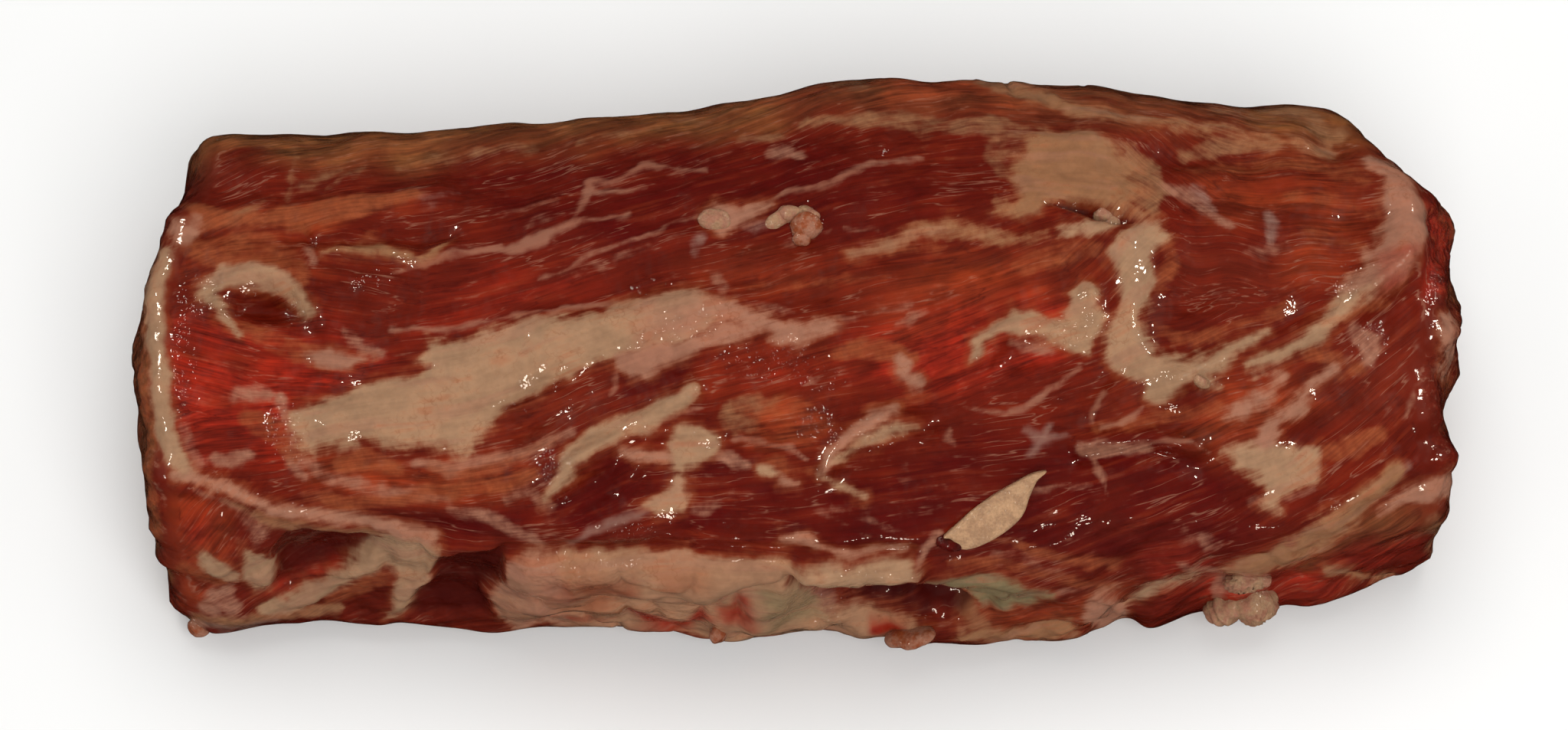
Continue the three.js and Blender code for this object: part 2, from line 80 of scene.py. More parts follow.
# The relief of the solid, laid out as the photograph's camera sees the block, in millimetres across and up:
# bands along a line, with their half width and rise, and rounded mounds.
BANDS = [
    ([(-88, 20), (-71, 21), (-61, 22), (-51, 23.4)], 2.2, 1.3),
    ([(-72, 18), (-61, 17.2), (-50, 17.6)], 1.4, -1.2),
    ([(-83, 7), (-81, 10.5), (-77, 12.3), (-72, 12), (-69, 9), (-67.5, 5.5)], 1.7, 1.3),
    ([(-65, 16), (-58, 16.6), (-54, 14), (-49.5, 16)], 1.3, 1),
    ([(-64, -8), (-56, -4), (-46, 0), (-36, 2)], 5, 0.8),
    ([(-36, 2), (-26, 5.5), (-15, 7.6), (-3, 5.8), (4, 5)], 3, 1.3),
    ([(-35.6, -18.2), (-31, -14.2), (-24, -10), (-15, -4.5)], 1.8, 2),
    ([(-15, -9.5), (-21, -10.5), (-22.5, -14), (-25, -17.5)], 1.6, 1),
    ([(4, -15.8), (7, -11), (13, -8), (18, -9.5)], 1.7, 1.6),
    ([(27, 0.5), (30, 4.6), (36, 4.4), (41, 3), (43.5, 6), (42, 9.5)], 1.7, 1.5),
    ([(46, 16.5), (47.5, 11), (47, 4), (50, -0.5), (54, -3)], 2.6, 1.4),
    ([(54, -2.5), (64, 2), (72, 3.5), (80, 8), (87, 14)], 1.6, 1.2),
    ([(80, 9), (86, 13), (88, 19), (85, 24), (80, 27.5)], 3, 1.8),
    ([(90.5, 10), (91.5, 16), (91, 20)], 1.4, -1.2),
    ([(57, -27.5), (66, -25), (78, -19.5), (86, -15.5), (93, -13.5)], 2, 1.1),
    ([(40, -11.8), (50, -10.6), (57, -12.4)], 1.3, 1.2),
    ([(41, -13.8), (50, -13), (58, -15)], 1.3, -0.8),
    ([(-90, -17.5), (-80, -19.5), (-70, -22.4), (-60, -24), (-50, -27)], 1.5, 1),
    ([(-42, -27.4), (-20, -26.4), (0, -27), (16, -27)], 1, -0.9),
    ([(-38, -31.5), (-25, -31.5), (-12, -32)], 3.6, 1.3),
    ([(1, -30.2), (9, -30.6), (16.5, -29.6)], 1.7, 2.3),
    ([(0, -32.2), (9, -34), (19, -34.6), (27, -35)], 1.5, -2.6),
    ([(-6, -36), (6, -37), (17, -38.5)], 1.8, 1.1),
    ([(18, -30.6), (28, -31.6), (38, -32.6), (46, -31.4), (55, -28.4)], 1.6, 1.1),
    ([(26, 33.5), (40, 31), (55, 33.4), (72, 32)], 2.4, 0.9),
    ([(38, 27), (52, 28.6), (66, 28.4)], 1.6, -0.8),
]
MOUNDS = [  # centre, half length, half width, turn in degrees, rise
    ((-77, 26.5), 7, 4.5, 0, 1.3),
    ((-75, 7.6), 5, 2.6, 0, -2.8),
    ((-84, -2), 6, 9, 0, 1),
    ((-36, -7), 12, 3.4, 28, -2.2),
    ((-26, -17.5), 8, 3, 20, -1.3),
    ((-3, -9.5), 8.5, 4.6, -8, 2.2),
    ((-7, 0), 9, 3.2, 10, 1.2),
    ((-20, 20), 38, 7, 8, 1.4),
    ((66, 18), 16, 8, -6, 1.2),
    ((57, 9), 6, 5, 0, -1),
    ((43, 21.3), 5, 1.3, -16, -2),
    ((45, -4.6), 5, 2, 50, -1.4),
    ((52, -19.5), 18, 5, 0, 1),
    ((-68.5, -28.6), 7.5, 2.8, 18, -2.2),
    ((-48.5, -33), 6.5, 4, -24, -1.8),
    ((-81, -28.6), 3.8, 2.2, -14, 1.5),
    ((-76, -28.4), 2.6, 3.6, 0, 1.6),
    ((-81, -34.6), 3.2, 2.2, 0, 1.5),
    ((42, -34.6), 5.5, 3.4, 0, 1.1),
    ((77, 31), 6, 2.6, -40, -1.6),
]
UNEVENNESS = [(34, 0.5), (15, 0.35), (9, 0.25)]  # wave length and height of each set of waves
UNEVENNESS_SEED = 7
CALM_HEIGHT = 5.0  # the base below this height stays flat

# ---- The camera, which also places everything that the photograph shows ----

LOOK_DOWN = np.radians(70)
LOOK_DISTANCE = 700.0
LOOK_AT = np.array([0, 0, 23.0])
TOWARDS_EYE = np.array([0, -np.cos(LOOK_DOWN), np.sin(LOOK_DOWN)])
UP_THE_VIEW = np.array([0, np.sin(LOOK_DOWN), np.cos(LOOK_DOWN)])
PHOTO_SIZE = (2048, 953)
PHOTO_MIDDLE = (1042, 472)  # the pixel where the camera's aim falls
PIXELS_PER_MM = 9.13
SENSOR = 36.0
NEAREST_SEEN = 0.01  # metres

# ---- The mesh ----

STATIONS = 384
SECTION_STEPS = [3, 2, 6, 24, 24, 46, 46, 38, 18, 10, 6, 2, 3, 3]
ROUNDING_STEPS = 8
CAP_RINGS = 14

# ---- What the photograph shows ----

# Opaque fat and tendon: each is a tone and either an outline or a line of (x, y, half).
FAT = {
    "sheet": ("cream", [
        (542, 470), (561, 449), (604, 443), (646, 430), (689, 424), (738, 418), (787, 412), (806, 400),
        (842, 391), (879, 381), (910, 381), (928, 391), (945, 405), (935, 425), (905, 440), (880, 450),
        (845, 455), (815, 458), (790, 468), (757, 483), (726, 495), (695, 513), (659, 532), (634, 556),
        (607, 590), (578, 583), (518, 585), (483, 573), (452, 578), (403, 582), (375, 556), (383, 538),
        (417, 524), (455, 513), (501, 499), (546, 492), (564, 475),
    ]),
    "lower lobe of the sheet": ("pink", [
        (800, 462), (835, 452), (880, 446), (925, 436), (945, 420), (975, 432), (1002, 440), (970, 448),
        (930, 455), (905, 463), (880, 470), (860, 480), (845, 490), (822, 490), (806, 478),
    ]),
    "end of the sheet": ("pink", [
        (928, 391), (977, 407), (1008, 418), (1040, 423), (1075, 421), (1097, 430), (1070, 441),
        (1042, 455), (1018, 451), (1000, 440), (980, 436), (945, 425),
    ]),
    "wedge beside the sheet": ("pink", [(392, 462), (430, 456), (483, 468), (448, 482), (413, 475)]),
    "patch under the tendon": ("cream", [
        (872, 576), (888, 560), (916, 556), (936, 568), (940, 584), (926, 596), (912, 602), (898, 616),
        (880, 618), (874, 600),
    ]),
    "triangle": ("cream", [
        (840, 661), (876, 640), (882, 618), (894, 616), (898, 652), (896, 668), (860, 672),
    ]),
    "upper patch": ("tan fat", [
        (1341, 182), (1366, 171), (1401, 178), (1436, 189), (1464, 199), (1490, 212), (1474, 230),
        (1502, 248), (1484, 268), (1496, 287), (1471, 280), (1436, 262), (1401, 259), (1366, 261),
        (1352, 277), (1320, 284), (1296, 283), (1322, 265), (1331, 245), (1318, 225), (1340, 205),
    ]),
    "column": ("cream", [
        (1478, 298), (1510, 294), (1526, 312), (1500, 340), (1505, 370), (1495, 400), (1487, 415),
        (1508, 461), (1536, 471), (1571, 464), (1606, 450), (1655, 427), (1655, 436), (1617, 461),
        (1596, 482), (1578, 492), (1585, 503), (1568, 508), (1557, 499), (1536, 510), (1522, 527),
        (1497, 520), (1494, 503), (1459, 482), (1445, 468), (1441, 440), (1466, 396), (1456, 360),
        (1448, 336), (1460, 310),
    ]),
    "patch beside the column": ("cream", [
        (1311, 419), (1326, 408), (1347, 406), (1368, 417), (1396, 419), (1398, 384), (1410, 370),
        (1432, 380), (1430, 404), (1448, 412), (1431, 443), (1420, 461), (1392, 457), (1361, 443),
        (1333, 436), (1301, 440), (1283, 448), (1280, 468), (1271, 470), (1271, 445),
    ]),
    "right patch": ("cream", [
        (1594, 588), (1629, 579), (1657, 577), (1724, 585), (1723, 607), (1721, 630), (1692, 636),
        (1673, 645), (1667, 662), (1645, 663), (1654, 642), (1641, 623), (1616, 607),
    ]),
    "band at the right end": ("pink", [
        (1787, 203), (1824, 224), (1844, 252), (1864, 281), (1864, 307), (1853, 330), (1839, 361),
        (1821, 381), (1790, 392), (1762, 398), (1748, 384), (1776, 356), (1798, 324), (1807, 304),
        (1810, 281), (1801, 246), (1776, 212),
    ]),
    "slab on the near side": ("slab", [
        (696, 721), (760, 722), (825, 723), (896, 725), (948, 730), (1036, 730), (1040, 745), (1030, 762),
        (1060, 782), (1085, 792), (1150, 800), (1190, 808), (1215, 822), (1212, 848), (1164, 838),
        (1084, 836), (998, 840), (940, 842), (873, 836), (793, 830), (708, 820), (671, 826), (650, 800),
        (640, 775), (660, 755), (662, 735),
    ]),
    "fat beside the pocket": ("cream", [
        (482, 716), (500, 698), (540, 702), (575, 716), (566, 745), (545, 785), (524, 800), (505, 802),
        (515, 780), (516, 750), (500, 742), (470, 752), (430, 776), (390, 800), (350, 802), (335, 790),
        (370, 776), (410, 764), (450, 744),
    ]),
    "lobe beside the pocket": ("cream", [
        (322, 712), (345, 715), (358, 735), (355, 760), (335, 766), (318, 745),
    ]),
    "grey tendon sheet": ("grey", [
        (1206, 756), (1238, 749), (1290, 749), (1325, 757), (1374, 770), (1325, 788), (1283, 802),
        (1255, 784), (1227, 767),
    ]),
    "oval below the right side": ("pink", [
        (1412, 792), (1420, 775), (1440, 767), (1462, 770), (1474, 785), (1470, 806), (1450, 820),
        (1425, 815),
    ]),
    "edge fat, lower right": ("pink", [
        (1801, 671), (1823, 645), (1865, 623), (1900, 615), (1900, 648), (1865, 652), (1826, 660),
    ]),
    "arch": ("cream", [
        (262, 388, 5), (273, 381, 10), (295, 366, 13), (336, 362, 12), (365, 370, 11), (390, 388, 10),
        (402, 405, 7),
    ]),
    "foot of the arch": ("cream", [(273, 385, 9), (285, 400, 8), (296, 418, 6), (311, 438, 3)]),
    "fold": ("tan fat", [
        (420, 331, 4), (466, 326, 6), (492, 323, 7), (519, 332, 5), (543, 343, 4), (566, 336, 4),
        (585, 326, 3),
    ]),
    "dot": ("pink", [(925, 292, 8), (940, 291, 18), (958, 288, 10), (985, 280, 4), (1005, 272, 2)]),
    "tendon": ("cream", [
        (905, 512, 8), (880, 530, 14), (847, 548, 14), (810, 560, 14), (785, 568, 16), (760, 588, 14),
        (742, 612, 11), (725, 635, 7), (713, 650, 3),
    ]),
    "foot of the tendon": ("pink", [(815, 588, 6), (845, 594, 7), (875, 596, 8)]),
    "torn bar": ("pink", [(1075, 622, 6), (1085, 595, 7), (1105, 572, 8), (1141, 546, 9), (1165, 534, 5)]),
    "torn bar, lower": ("cream", [
        (1085, 606, 5), (1110, 588, 7), (1135, 572, 8), (1165, 558, 7), (1192, 558, 3),
    ]),
    "foot of the torn bar": ("cream", [(1072, 624, 4), (1102, 636, 5), (1127, 645, 3)]),
    "crumb": ("cream", [(998, 616, 6), (1008, 618, 6)]),
    "second crumb": ("pink", [(1024, 628, 6), (1040, 631, 5)]),
    "patch on the lobe": ("pink", [(1172, 466, 5), (1180, 480, 9), (1182, 492, 6), (1202, 502, 8)]),
    "roll": ("cream", [
        (1046, 745, 9), (1075, 745, 14), (1106, 746, 15), (1150, 742, 14), (1185, 738, 11), (1197, 742, 6),
    ]),
    "strip above the roll": ("pink", [
        (1020, 702, 4), (1045, 702, 7), (1062, 708, 6), (1072, 718, 4), (1110, 720, 3), (1180, 715, 3),
    ]),
    "near ridge, left": ("pink", [
        (232, 618, 6), (273, 630, 6), (304, 640, 7), (340, 655, 7), (375, 664, 7), (430, 672, 6),
        (480, 676, 6), (520, 695, 8), (560, 706, 8),
    ]),
    "knob by the corner": ("cream", [(268, 728, 10), (290, 735, 12), (305, 742, 6)]),
    "upper seam": ("tan fat", [
        (1113, 331, 2), (1173, 314, 3), (1200, 302, 5), (1240, 298, 7), (1275, 306, 7), (1310, 314, 5),
        (1345, 314, 3), (1366, 309, 2),
    ]),
    "tail of the upper patch": ("cream", [
        (1446, 292, 10), (1432, 296, 12), (1405, 303, 6), (1383, 308, 3),
    ]),
    "limb": ("pink", [
        (1654, 580, 14), (1660, 562, 11), (1668, 545, 7), (1690, 530, 8), (1718, 494, 7), (1745, 478, 5),
    ]),
    "second limb": ("pink", [
        (1600, 548, 4), (1618, 540, 5), (1641, 528, 5), (1660, 510, 4), (1673, 492, 2),
    ]),
    "tendon of the right band": ("cream", [
        (1800, 372, 13), (1770, 388, 13), (1750, 400, 11), (1738, 420, 10), (1716, 440, 10), (1673, 460, 8),
        (1632, 478, 5),
    ]),
    "left edge": ("cream", [
        (222, 335, 7), (208, 370, 10), (202, 425, 12), (208, 470, 11), (210, 520, 11), (216, 560, 12),
        (226, 596, 14), (244, 616, 9),
    ]),
    "tendon at the lower right": ("tan fat", [
        (1600, 742, 5), (1640, 736, 9), (1690, 714, 13), (1741, 682, 16), (1788, 644, 15), (1822, 613, 9),
    ]),
    "nodule at the left edge": ("pink", [(242, 306, 10), (244, 316, 9), (255, 298, 6)]),
    "right edge": ("pink", [(1888, 415, 5), (1886, 440, 9), (1893, 465, 6), (1886, 490, 3)]),
    "far fold": ("tan fat", [
        (1278, 100, 4), (1320, 108, 7), (1348, 118, 8), (1384, 132, 8), (1420, 147, 8), (1471, 156, 6),
        (1524, 166, 5), (1604, 171, 4), (1700, 190, 4), (1742, 199, 3),
    ]),
    "lower right streak": ("cream", [(1470, 782, 6), (1495, 770, 9), (1525, 760, 8), (1560, 749, 4)]),
    "foot below the right side": ("tan fat", [(1255, 820, 5), (1330, 825, 7), (1395, 812, 12)]),
    "fringe at the right": ("tan fat", [(1735, 742, 5), (1755, 744, 6), (1780, 756, 5), (1820, 760, 5)]),
}

# Thin translucent tissue over the muscle: a tone, how much of it covers, and an outline or a line.
VEILS = [
    ("orange fat", 0.9, [
        (246, 272), (297, 283), (353, 285), (396, 278), (448, 266), (501, 257), (545, 254), (562, 258),
        (518, 272), (483, 281), (452, 291), (396, 299), (325, 301), (262, 305),
    ]),
    ("tan fat", 0.6, [(302, 294, 4), (322, 285, 5), (344, 274, 3)]),
    ("orange fat", 0.55, [(250, 330, 10), (290, 335, 22), (340, 330, 24), (380, 345, 16), (400, 372, 8)]),
    ("pink", 0.7, [(402, 322, 4), (405, 334, 6), (409, 344, 4)]),
    ("tan fat", 0.5, [(386, 202, 3), (382, 240, 4), (378, 270, 3)]),
    ("tan fat", 0.55, [(390, 250, 3), (416, 238, 5), (446, 224, 3)]),
    ("tan fat", 0.5, [(426, 250, 2), (450, 236, 4), (478, 220, 3)]),
    ("tan fat", 0.45, [(520, 222, 3), (570, 210, 7), (630, 202, 6), (700, 196, 4)]),
    ("silver", 0.4, [(554, 266, 2), (575, 262, 4), (600, 255, 2)]),
    ("pink", 0.4, [(658, 282, 2), (695, 274, 3), (730, 265, 2)]),
    ("pink", 0.4, [(690, 300, 2), (730, 288, 3), (762, 276, 2)]),
    ("tan fat", 0.5, [(756, 190, 2), (810, 178, 4), (860, 170, 2)]),
    ("tan fat", 0.45, [(872, 150, 2), (905, 151, 4), (934, 154, 2)]),
    ("tan fat", 0.55, [(966, 186, 4), (995, 184, 6), (1022, 178, 3)]),
    ("pink", 0.55, [(1004, 204, 5), (1026, 200, 8), (1046, 210, 5)]),
    ("tan fat", 0.6, [(1088, 110, 5), (1108, 106, 8), (1128, 112, 5)]),
    ("tan fat", 0.6, [
        (1050, 161, 4), (1120, 156, 8), (1180, 156, 14), (1240, 160, 10), (1310, 166, 14), (1345, 180, 12),
    ]),
    ("silver", 0.5, [(965, 294, 5), (985, 296, 8), (1002, 294, 4)]),
    ("silver", 0.6, [(915, 318, 7), (908, 334, 5)]),
    ("orange fat", 0.5, [(1148, 328, 4), (1185, 322, 8), (1230, 322, 6)]),
    ("pink", 0.45, [(935, 360, 6), (945, 378, 8), (940, 395, 6)]),
    ("orange fat", 0.4, [(960, 384, 5), (1020, 372, 8), (1100, 366, 6), (1160, 360, 3)]),
    ("pink", 0.5, [(976, 400, 3), (1015, 405, 4), (1048, 411, 2)]),
    ("pink", 0.5, [(1060, 424, 3), (1120, 414, 3), (1192, 400, 2)]),
    ("pink", 0.5, [(1172, 424, 4), (1192, 414, 6), (1210, 408, 3)]),
    ("orange fat", 0.7, [(1095, 462, 8), (1130, 455, 14), (1165, 458, 12), (1190, 470, 8)]),
    ("orange fat", 0.2, [(1000, 440, 8), (1060, 462, 12), (1100, 450, 8)]),
    ("tan fat", 0.55, [
        (936, 545), (945, 530), (985, 518), (1030, 516), (1010, 540), (990, 566), (960, 570),
    ]),
    ("orange fat", 0.35, [
        (985, 518), (1030, 512), (1070, 535), (1085, 560), (1060, 582), (1000, 578), (985, 560),
    ]),
    ("pink", 0.7, [(936, 592, 5), (955, 598, 9), (975, 608, 5)]),
    ("orange fat", 0.6, [(560, 610, 8), (620, 616, 12), (680, 596, 8), (730, 572, 5)]),
    ("pink", 0.75, [(545, 606, 5), (590, 612, 10), (640, 604, 9), (695, 590, 7), (745, 562, 7)]),
    ("orange fat", 0.7, [(445, 606, 10), (480, 600, 14), (520, 612, 8)]),
    ("pink", 0.6, [(395, 600, 8), (430, 622, 8), (480, 636, 8), (540, 646, 6), (580, 650, 4)]),
    ("orange fat", 0.65, [
        (400, 645, 8), (460, 655, 8), (530, 648, 10), (600, 640, 12), (660, 632, 12), (700, 620, 8),
    ]),
    ("pink", 0.65, [(585, 668, 4), (640, 676, 8), (690, 700, 7), (706, 712, 5)]),
    ("pink", 0.6, [(660, 650, 5), (690, 640, 8), (720, 660, 5)]),
    ("tan fat", 0.75, [(290, 655, 5), (350, 675, 8), (430, 690, 8), (490, 698, 8)]),
    ("pink", 0.7, [(280, 600, 5), (300, 602, 10), (325, 594, 6)]),
    ("pink", 0.55, [(310, 512, 6), (336, 510, 10), (352, 516, 5)]),
    ("pink", 0.65, [(366, 520, 6), (376, 555, 10), (382, 600, 9), (400, 620, 5)]),
    ("pink", 0.6, [(448, 430, 4), (458, 440, 6), (475, 456, 7), (500, 462, 5)]),
    ("pink", 0.5, [(260, 640, 4), (300, 660, 6), (340, 690, 8), (335, 706, 5)]),
    ("orange fat", 0.7, [(236, 742, 8), (262, 748, 8), (290, 756, 5)]),
    ("pink", 0.7, [(270, 790, 10), (290, 775, 13), (306, 785, 10)]),
    ("tan fat", 0.8, [(250, 812, 8), (310, 806, 10), (380, 804, 6), (440, 796, 6)]),
    ("pink", 0.55, [(394, 722, 4), (415, 714, 5), (440, 702, 3)]),
    ("orange fat", 0.6, [(430, 785, 6), (460, 768, 12), (500, 755, 10)]),
    ("orange fat", 0.5, [(1015, 600, 6), (1035, 612, 8), (1055, 616, 5)]),
    ("pink", 0.5, [(912, 668, 6), (926, 666, 9), (938, 664, 4)]),
    ("pink", 0.4, [(1072, 668, 2), (1104, 684, 3), (1136, 700, 2)]),
    ("pink", 0.4, [(1088, 662, 2), (1130, 678, 3), (1180, 696, 2)]),
    ("pink", 0.75, [(1198, 728, 4), (1210, 712, 5), (1226, 697, 5)]),
    ("tan fat", 0.7, [(1190, 752, 5), (1220, 772, 6), (1262, 806, 6), (1290, 812, 5)]),
    ("orange fat", 0.6, [(1240, 735, 4), (1310, 738, 6), (1400, 752, 6), (1450, 760, 5)]),
    ("tan fat", 0.45, [(1300, 165), (1345, 175), (1335, 240), (1300, 235), (1285, 200)]),
    ("tan fat", 0.8, [(1470, 196), (1512, 212), (1524, 250), (1504, 288), (1480, 270)]),
    ("pink", 0.6, [(1500, 235, 4), (1540, 250, 7), (1578, 276, 8), (1604, 306, 4)]),
    ("silver", 0.6, [(1556, 250, 5), (1570, 262, 9), (1586, 280, 5)]),
    ("silver", 0.7, [(1656, 288, 5), (1660, 305, 8), (1656, 320, 4)]),
    ("pink", 0.4, [(1628, 334, 4), (1650, 334, 6), (1676, 330, 3)]),
    ("tan fat", 0.6, [(1545, 200, 5), (1580, 192, 9), (1620, 188, 9), (1665, 192, 5)]),
    ("tan fat", 0.55, [(1580, 142, 3), (1630, 148, 5), (1690, 158, 5), (1740, 184, 5)]),
    ("tan fat", 0.6, [(1640, 130, 8), (1700, 150, 12), (1750, 175, 10)]),
    ("orange fat", 0.55, [(1560, 222, 5), (1640, 215, 10), (1720, 218, 10), (1780, 240, 8)]),
    ("orange fat", 0.45, [(1680, 262, 6), (1740, 266, 10), (1795, 280, 6)]),
    ("orange fat", 0.45, [(1690, 312, 6), (1740, 316, 8), (1780, 326, 5)]),
    ("orange fat", 0.6, [(1520, 318, 8), (1530, 345, 10), (1512, 372, 8)]),
    ("orange fat", 0.55, [(1510, 430, 8), (1560, 445, 10), (1620, 425, 8), (1690, 400, 8)]),
    ("orange fat", 0.55, [(1330, 350, 10), (1380, 335, 14), (1430, 325, 10)]),
    ("pink", 0.6, [(1320, 448, 4), (1350, 452, 7), (1372, 460, 4)]),
    ("pink", 0.7, [(1768, 432, 9), (1788, 448, 14), (1786, 470, 8)]),
    ("orange fat", 0.6, [(1745, 420, 8), (1770, 405, 10), (1808, 400, 8)]),
    ("orange fat", 0.6, [(1700, 455, 8), (1740, 470, 10), (1780, 480, 6)]),
    ("pink", 0.8, [(1408, 584, 4), (1425, 588, 8), (1460, 586, 7), (1500, 582, 4)]),
    ("pink", 0.5, [(240, 560, 8), (250, 590, 12), (262, 605, 8)]),
    ("orange fat", 0.55, [(300, 425, 10), (360, 444, 14), (420, 470, 12)]),
    ("orange fat", 0.6, [(326, 548, 12), (366, 566, 16), (386, 596, 12)]),
    ("pink", 0.4, [(1312, 645, 2), (1380, 636, 3), (1445, 640, 2)]),
    ("pink", 0.45, [(1545, 690, 3), (1575, 704, 6), (1595, 706, 3)]),
    ("pink", 0.5, [(1632, 655, 4), (1670, 650, 7), (1715, 640, 5)]),
    ("orange fat", 0.5, [(1430, 560, 6), (1520, 548, 8), (1590, 530, 6)]),
    ("orange fat", 0.6, [(1735, 590, 10), (1770, 580, 16), (1800, 570, 10)]),
    ("orange fat", 0.6, [(1885, 480, 6), (1893, 520, 8), (1890, 560, 5)]),
    ("tan fat", 0.6, [(1870, 680, 10), (1882, 700, 10), (1872, 720, 8)]),
    ("pink", 0.4, [(1820, 700, 2), (1850, 698, 3), (1897, 691, 2)]),
    ("pink", 0.6, [(1545, 730, 5), (1554, 736, 7), (1580, 742, 4), (1640, 735, 3), (1680, 720, 3)]),
    ("pink", 0.65, [(1590, 770, 8), (1618, 752, 12), (1650, 762, 10)]),
    ("orange fat", 0.6, [(1290, 700, 4), (1340, 716, 6), (1400, 728, 6), (1460, 735, 5)]),
    ("pink", 0.4, [(1300, 722, 2), (1345, 730, 3), (1380, 742, 2)]),
    ("pink", 0.45, [(1240, 560, 3), (1236, 572, 5), (1248, 578, 3)]),
    ("pink", 0.4, [(733, 357, 2), (796, 343, 3), (846, 322, 2)]),
    ("pink", 0.4, [(958, 333, 2), (1014, 322, 3), (1084, 301, 2)]),
    ("orange fat", 0.5, [(180, 345, 6), (186, 420, 6), (184, 500, 6), (190, 600, 7), (205, 700, 7)]),
]

# Thin pale lines between and inside the muscles, as lines of (x, y, half).
STREAKS = [
    [
        (504, 363, 2), (571, 345, 3), (600, 336, 4), (635, 330, 4), (663, 330, 5), (684, 328, 7),
        (705, 320, 8), (726, 310, 6), (747, 298, 4), (765, 294, 3), (796, 291, 2), (825, 284, 2),
    ],
    [
        (768, 240, 6), (796, 240, 3), (825, 230, 4), (842, 221, 4), (867, 221, 3), (895, 224, 3),
        (923, 226, 2),
    ],
    [(772, 256, 4), (796, 254, 3), (846, 252, 2)],
    [(768, 240, 6), (768, 255, 6), (762, 270, 4), (751, 290, 3)],
    [(923, 289, 3), (881, 295, 2.5), (828, 315, 3), (775, 336, 2.5), (705, 368, 2)],
    [
        (1010, 266, 2), (1021, 260, 3), (1056, 254, 4), (1084, 250, 4), (1109, 233, 3), (1133, 220, 4),
        (1173, 210, 3), (1204, 206, 2),
    ],
    [(1102, 301, 2), (1147, 298, 2)],
    [(512, 430, 2), (573, 430, 3), (628, 421, 3), (738, 405, 3), (832, 396, 3)],
    [(959, 573, 3), (1001, 577, 4), (1036, 587, 4), (1053, 598, 3)],
    [
        (1259, 529, 2), (1290, 536, 3), (1315, 540, 3), (1336, 534, 4), (1361, 513, 4), (1382, 501, 2),
        (1410, 478, 2),
    ],
    [(1424, 552, 2), (1441, 510, 3)],
    [(1438, 559, 3), (1466, 552, 3), (1494, 531, 2)],
    [(1410, 587, 2), (1431, 577, 4), (1466, 578, 4), (1518, 573, 4), (1554, 576, 3), (1578, 589, 2)],
    [(1427, 597, 2), (1438, 626, 3), (1445, 647, 1.5)],
    [(1374, 770, 3), (1396, 762, 3), (1424, 760, 2)],
    [(1880, 476, 3), (1850, 505, 2), (1833, 543, 2)],
    [(804, 482, 3), (800, 497, 2.5), (797, 513, 2)],
    [(826, 570, 2), (870, 552, 3), (917, 531, 2)],
]

# Bluish silver skin, as lines of (x, y, half).
SILVER = [
    [(745, 714, 4), (773, 692, 5), (818, 678, 5), (847, 668, 4)],
    [
        (1657, 719, 3), (1689, 703, 5), (1721, 687, 7), (1753, 671, 7), (1785, 645, 8), (1817, 620, 6),
        (1839, 606, 3),
    ],
    [(1345, 592, 4), (1362, 572, 7), (1372, 556, 4)],
    [(1360, 575, 5), (1392, 566, 3)],
    [(1362, 574, 5), (1340, 560, 3)],
    [(1225, 768, 4), (1280, 780, 8), (1325, 775, 5)],
    [(985, 785, 10), (1040, 785, 14), (1085, 790, 6)],
    [(255, 815, 5), (300, 816, 6), (360, 812, 4)],
]

# Hollows with sharp rims, as outlines with a depth in millimetres. They are sunk into the skin and painted
# dark red, more the deeper they are: painted shade in the recesses.
HOLLOWS = {
    "crease by the orange band": (0.9, [(394, 298, 3), (402, 312, 5), (410, 326, 2)]),
    "under the arch": (0.7, [
        (304, 391), (318, 383), (350, 384), (375, 392), (395, 405), (400, 414), (360, 418), (325, 414),
        (308, 405),
    ]),
    "slit in the upper fat": (1.8, [
        (1359, 266), (1401, 262), (1436, 266), (1457, 274), (1482, 290), (1450, 290), (1440, 280),
    ]),
    "pocket": (1.2, [
        (375, 696), (403, 690), (448, 699), (476, 706), (487, 720), (466, 734), (424, 752), (378, 766),
        (347, 769), (361, 752), (357, 731), (352, 715),
    ]),
    "notch": (1.3, [
        (568, 734), (604, 722), (655, 720), (656, 758), (628, 777), (643, 806), (598, 812), (549, 811),
        (524, 801), (542, 777), (564, 758),
    ]),
    "gap below the roll": (2.2, [
        (1032, 760), (1071, 767), (1120, 765), (1200, 758), (1220, 770), (1255, 791), (1273, 802),
        (1255, 810), (1220, 805), (1185, 793), (1141, 786), (1071, 780), (1045, 772),
    ]),
    "slit beside the sliver": (1.2, [(1224, 703), (1240, 698), (1254, 706), (1246, 714), (1230, 712)]),
    "crevice": (1.0, [(1058, 612), (1072, 606), (1076, 622), (1066, 630)]),
}

# Tones, as the shares of red, green and blue that the eye sees.
TONES = {
    "muscle": (0.385, 0.10, 0.035),
    "bright": (0.555, 0.135, 0.07),
    "deep": (0.325, 0.045, 0.0),
    "maroon": (0.40, 0.125, 0.065),
    "orange": (0.52, 0.20, 0.095),
    "tan": (0.47, 0.265, 0.15),
    "shade": (0.495, 0.272, 0.158),
    # A dark red for a clot and the gaps between fibres, also painted into the hollows and below the roll as
    # painted shade.
    "blood and shade": (0.25, 0.035, 0.015),
    "olive": (0.53, 0.335, 0.178),
    "cream": (0.62, 0.475, 0.36),
    "pink": (0.605, 0.41, 0.325),
    "tan fat": (0.56, 0.385, 0.265),
    "orange fat": (0.545, 0.275, 0.16),
    "slab": (0.625, 0.455, 0.34),
    "yellow": (0.70, 0.545, 0.41),
    "streak": (0.60, 0.385, 0.30),
    "grey": (0.48, 0.42, 0.30),
    "silver": (0.53, 0.39, 0.34),
}

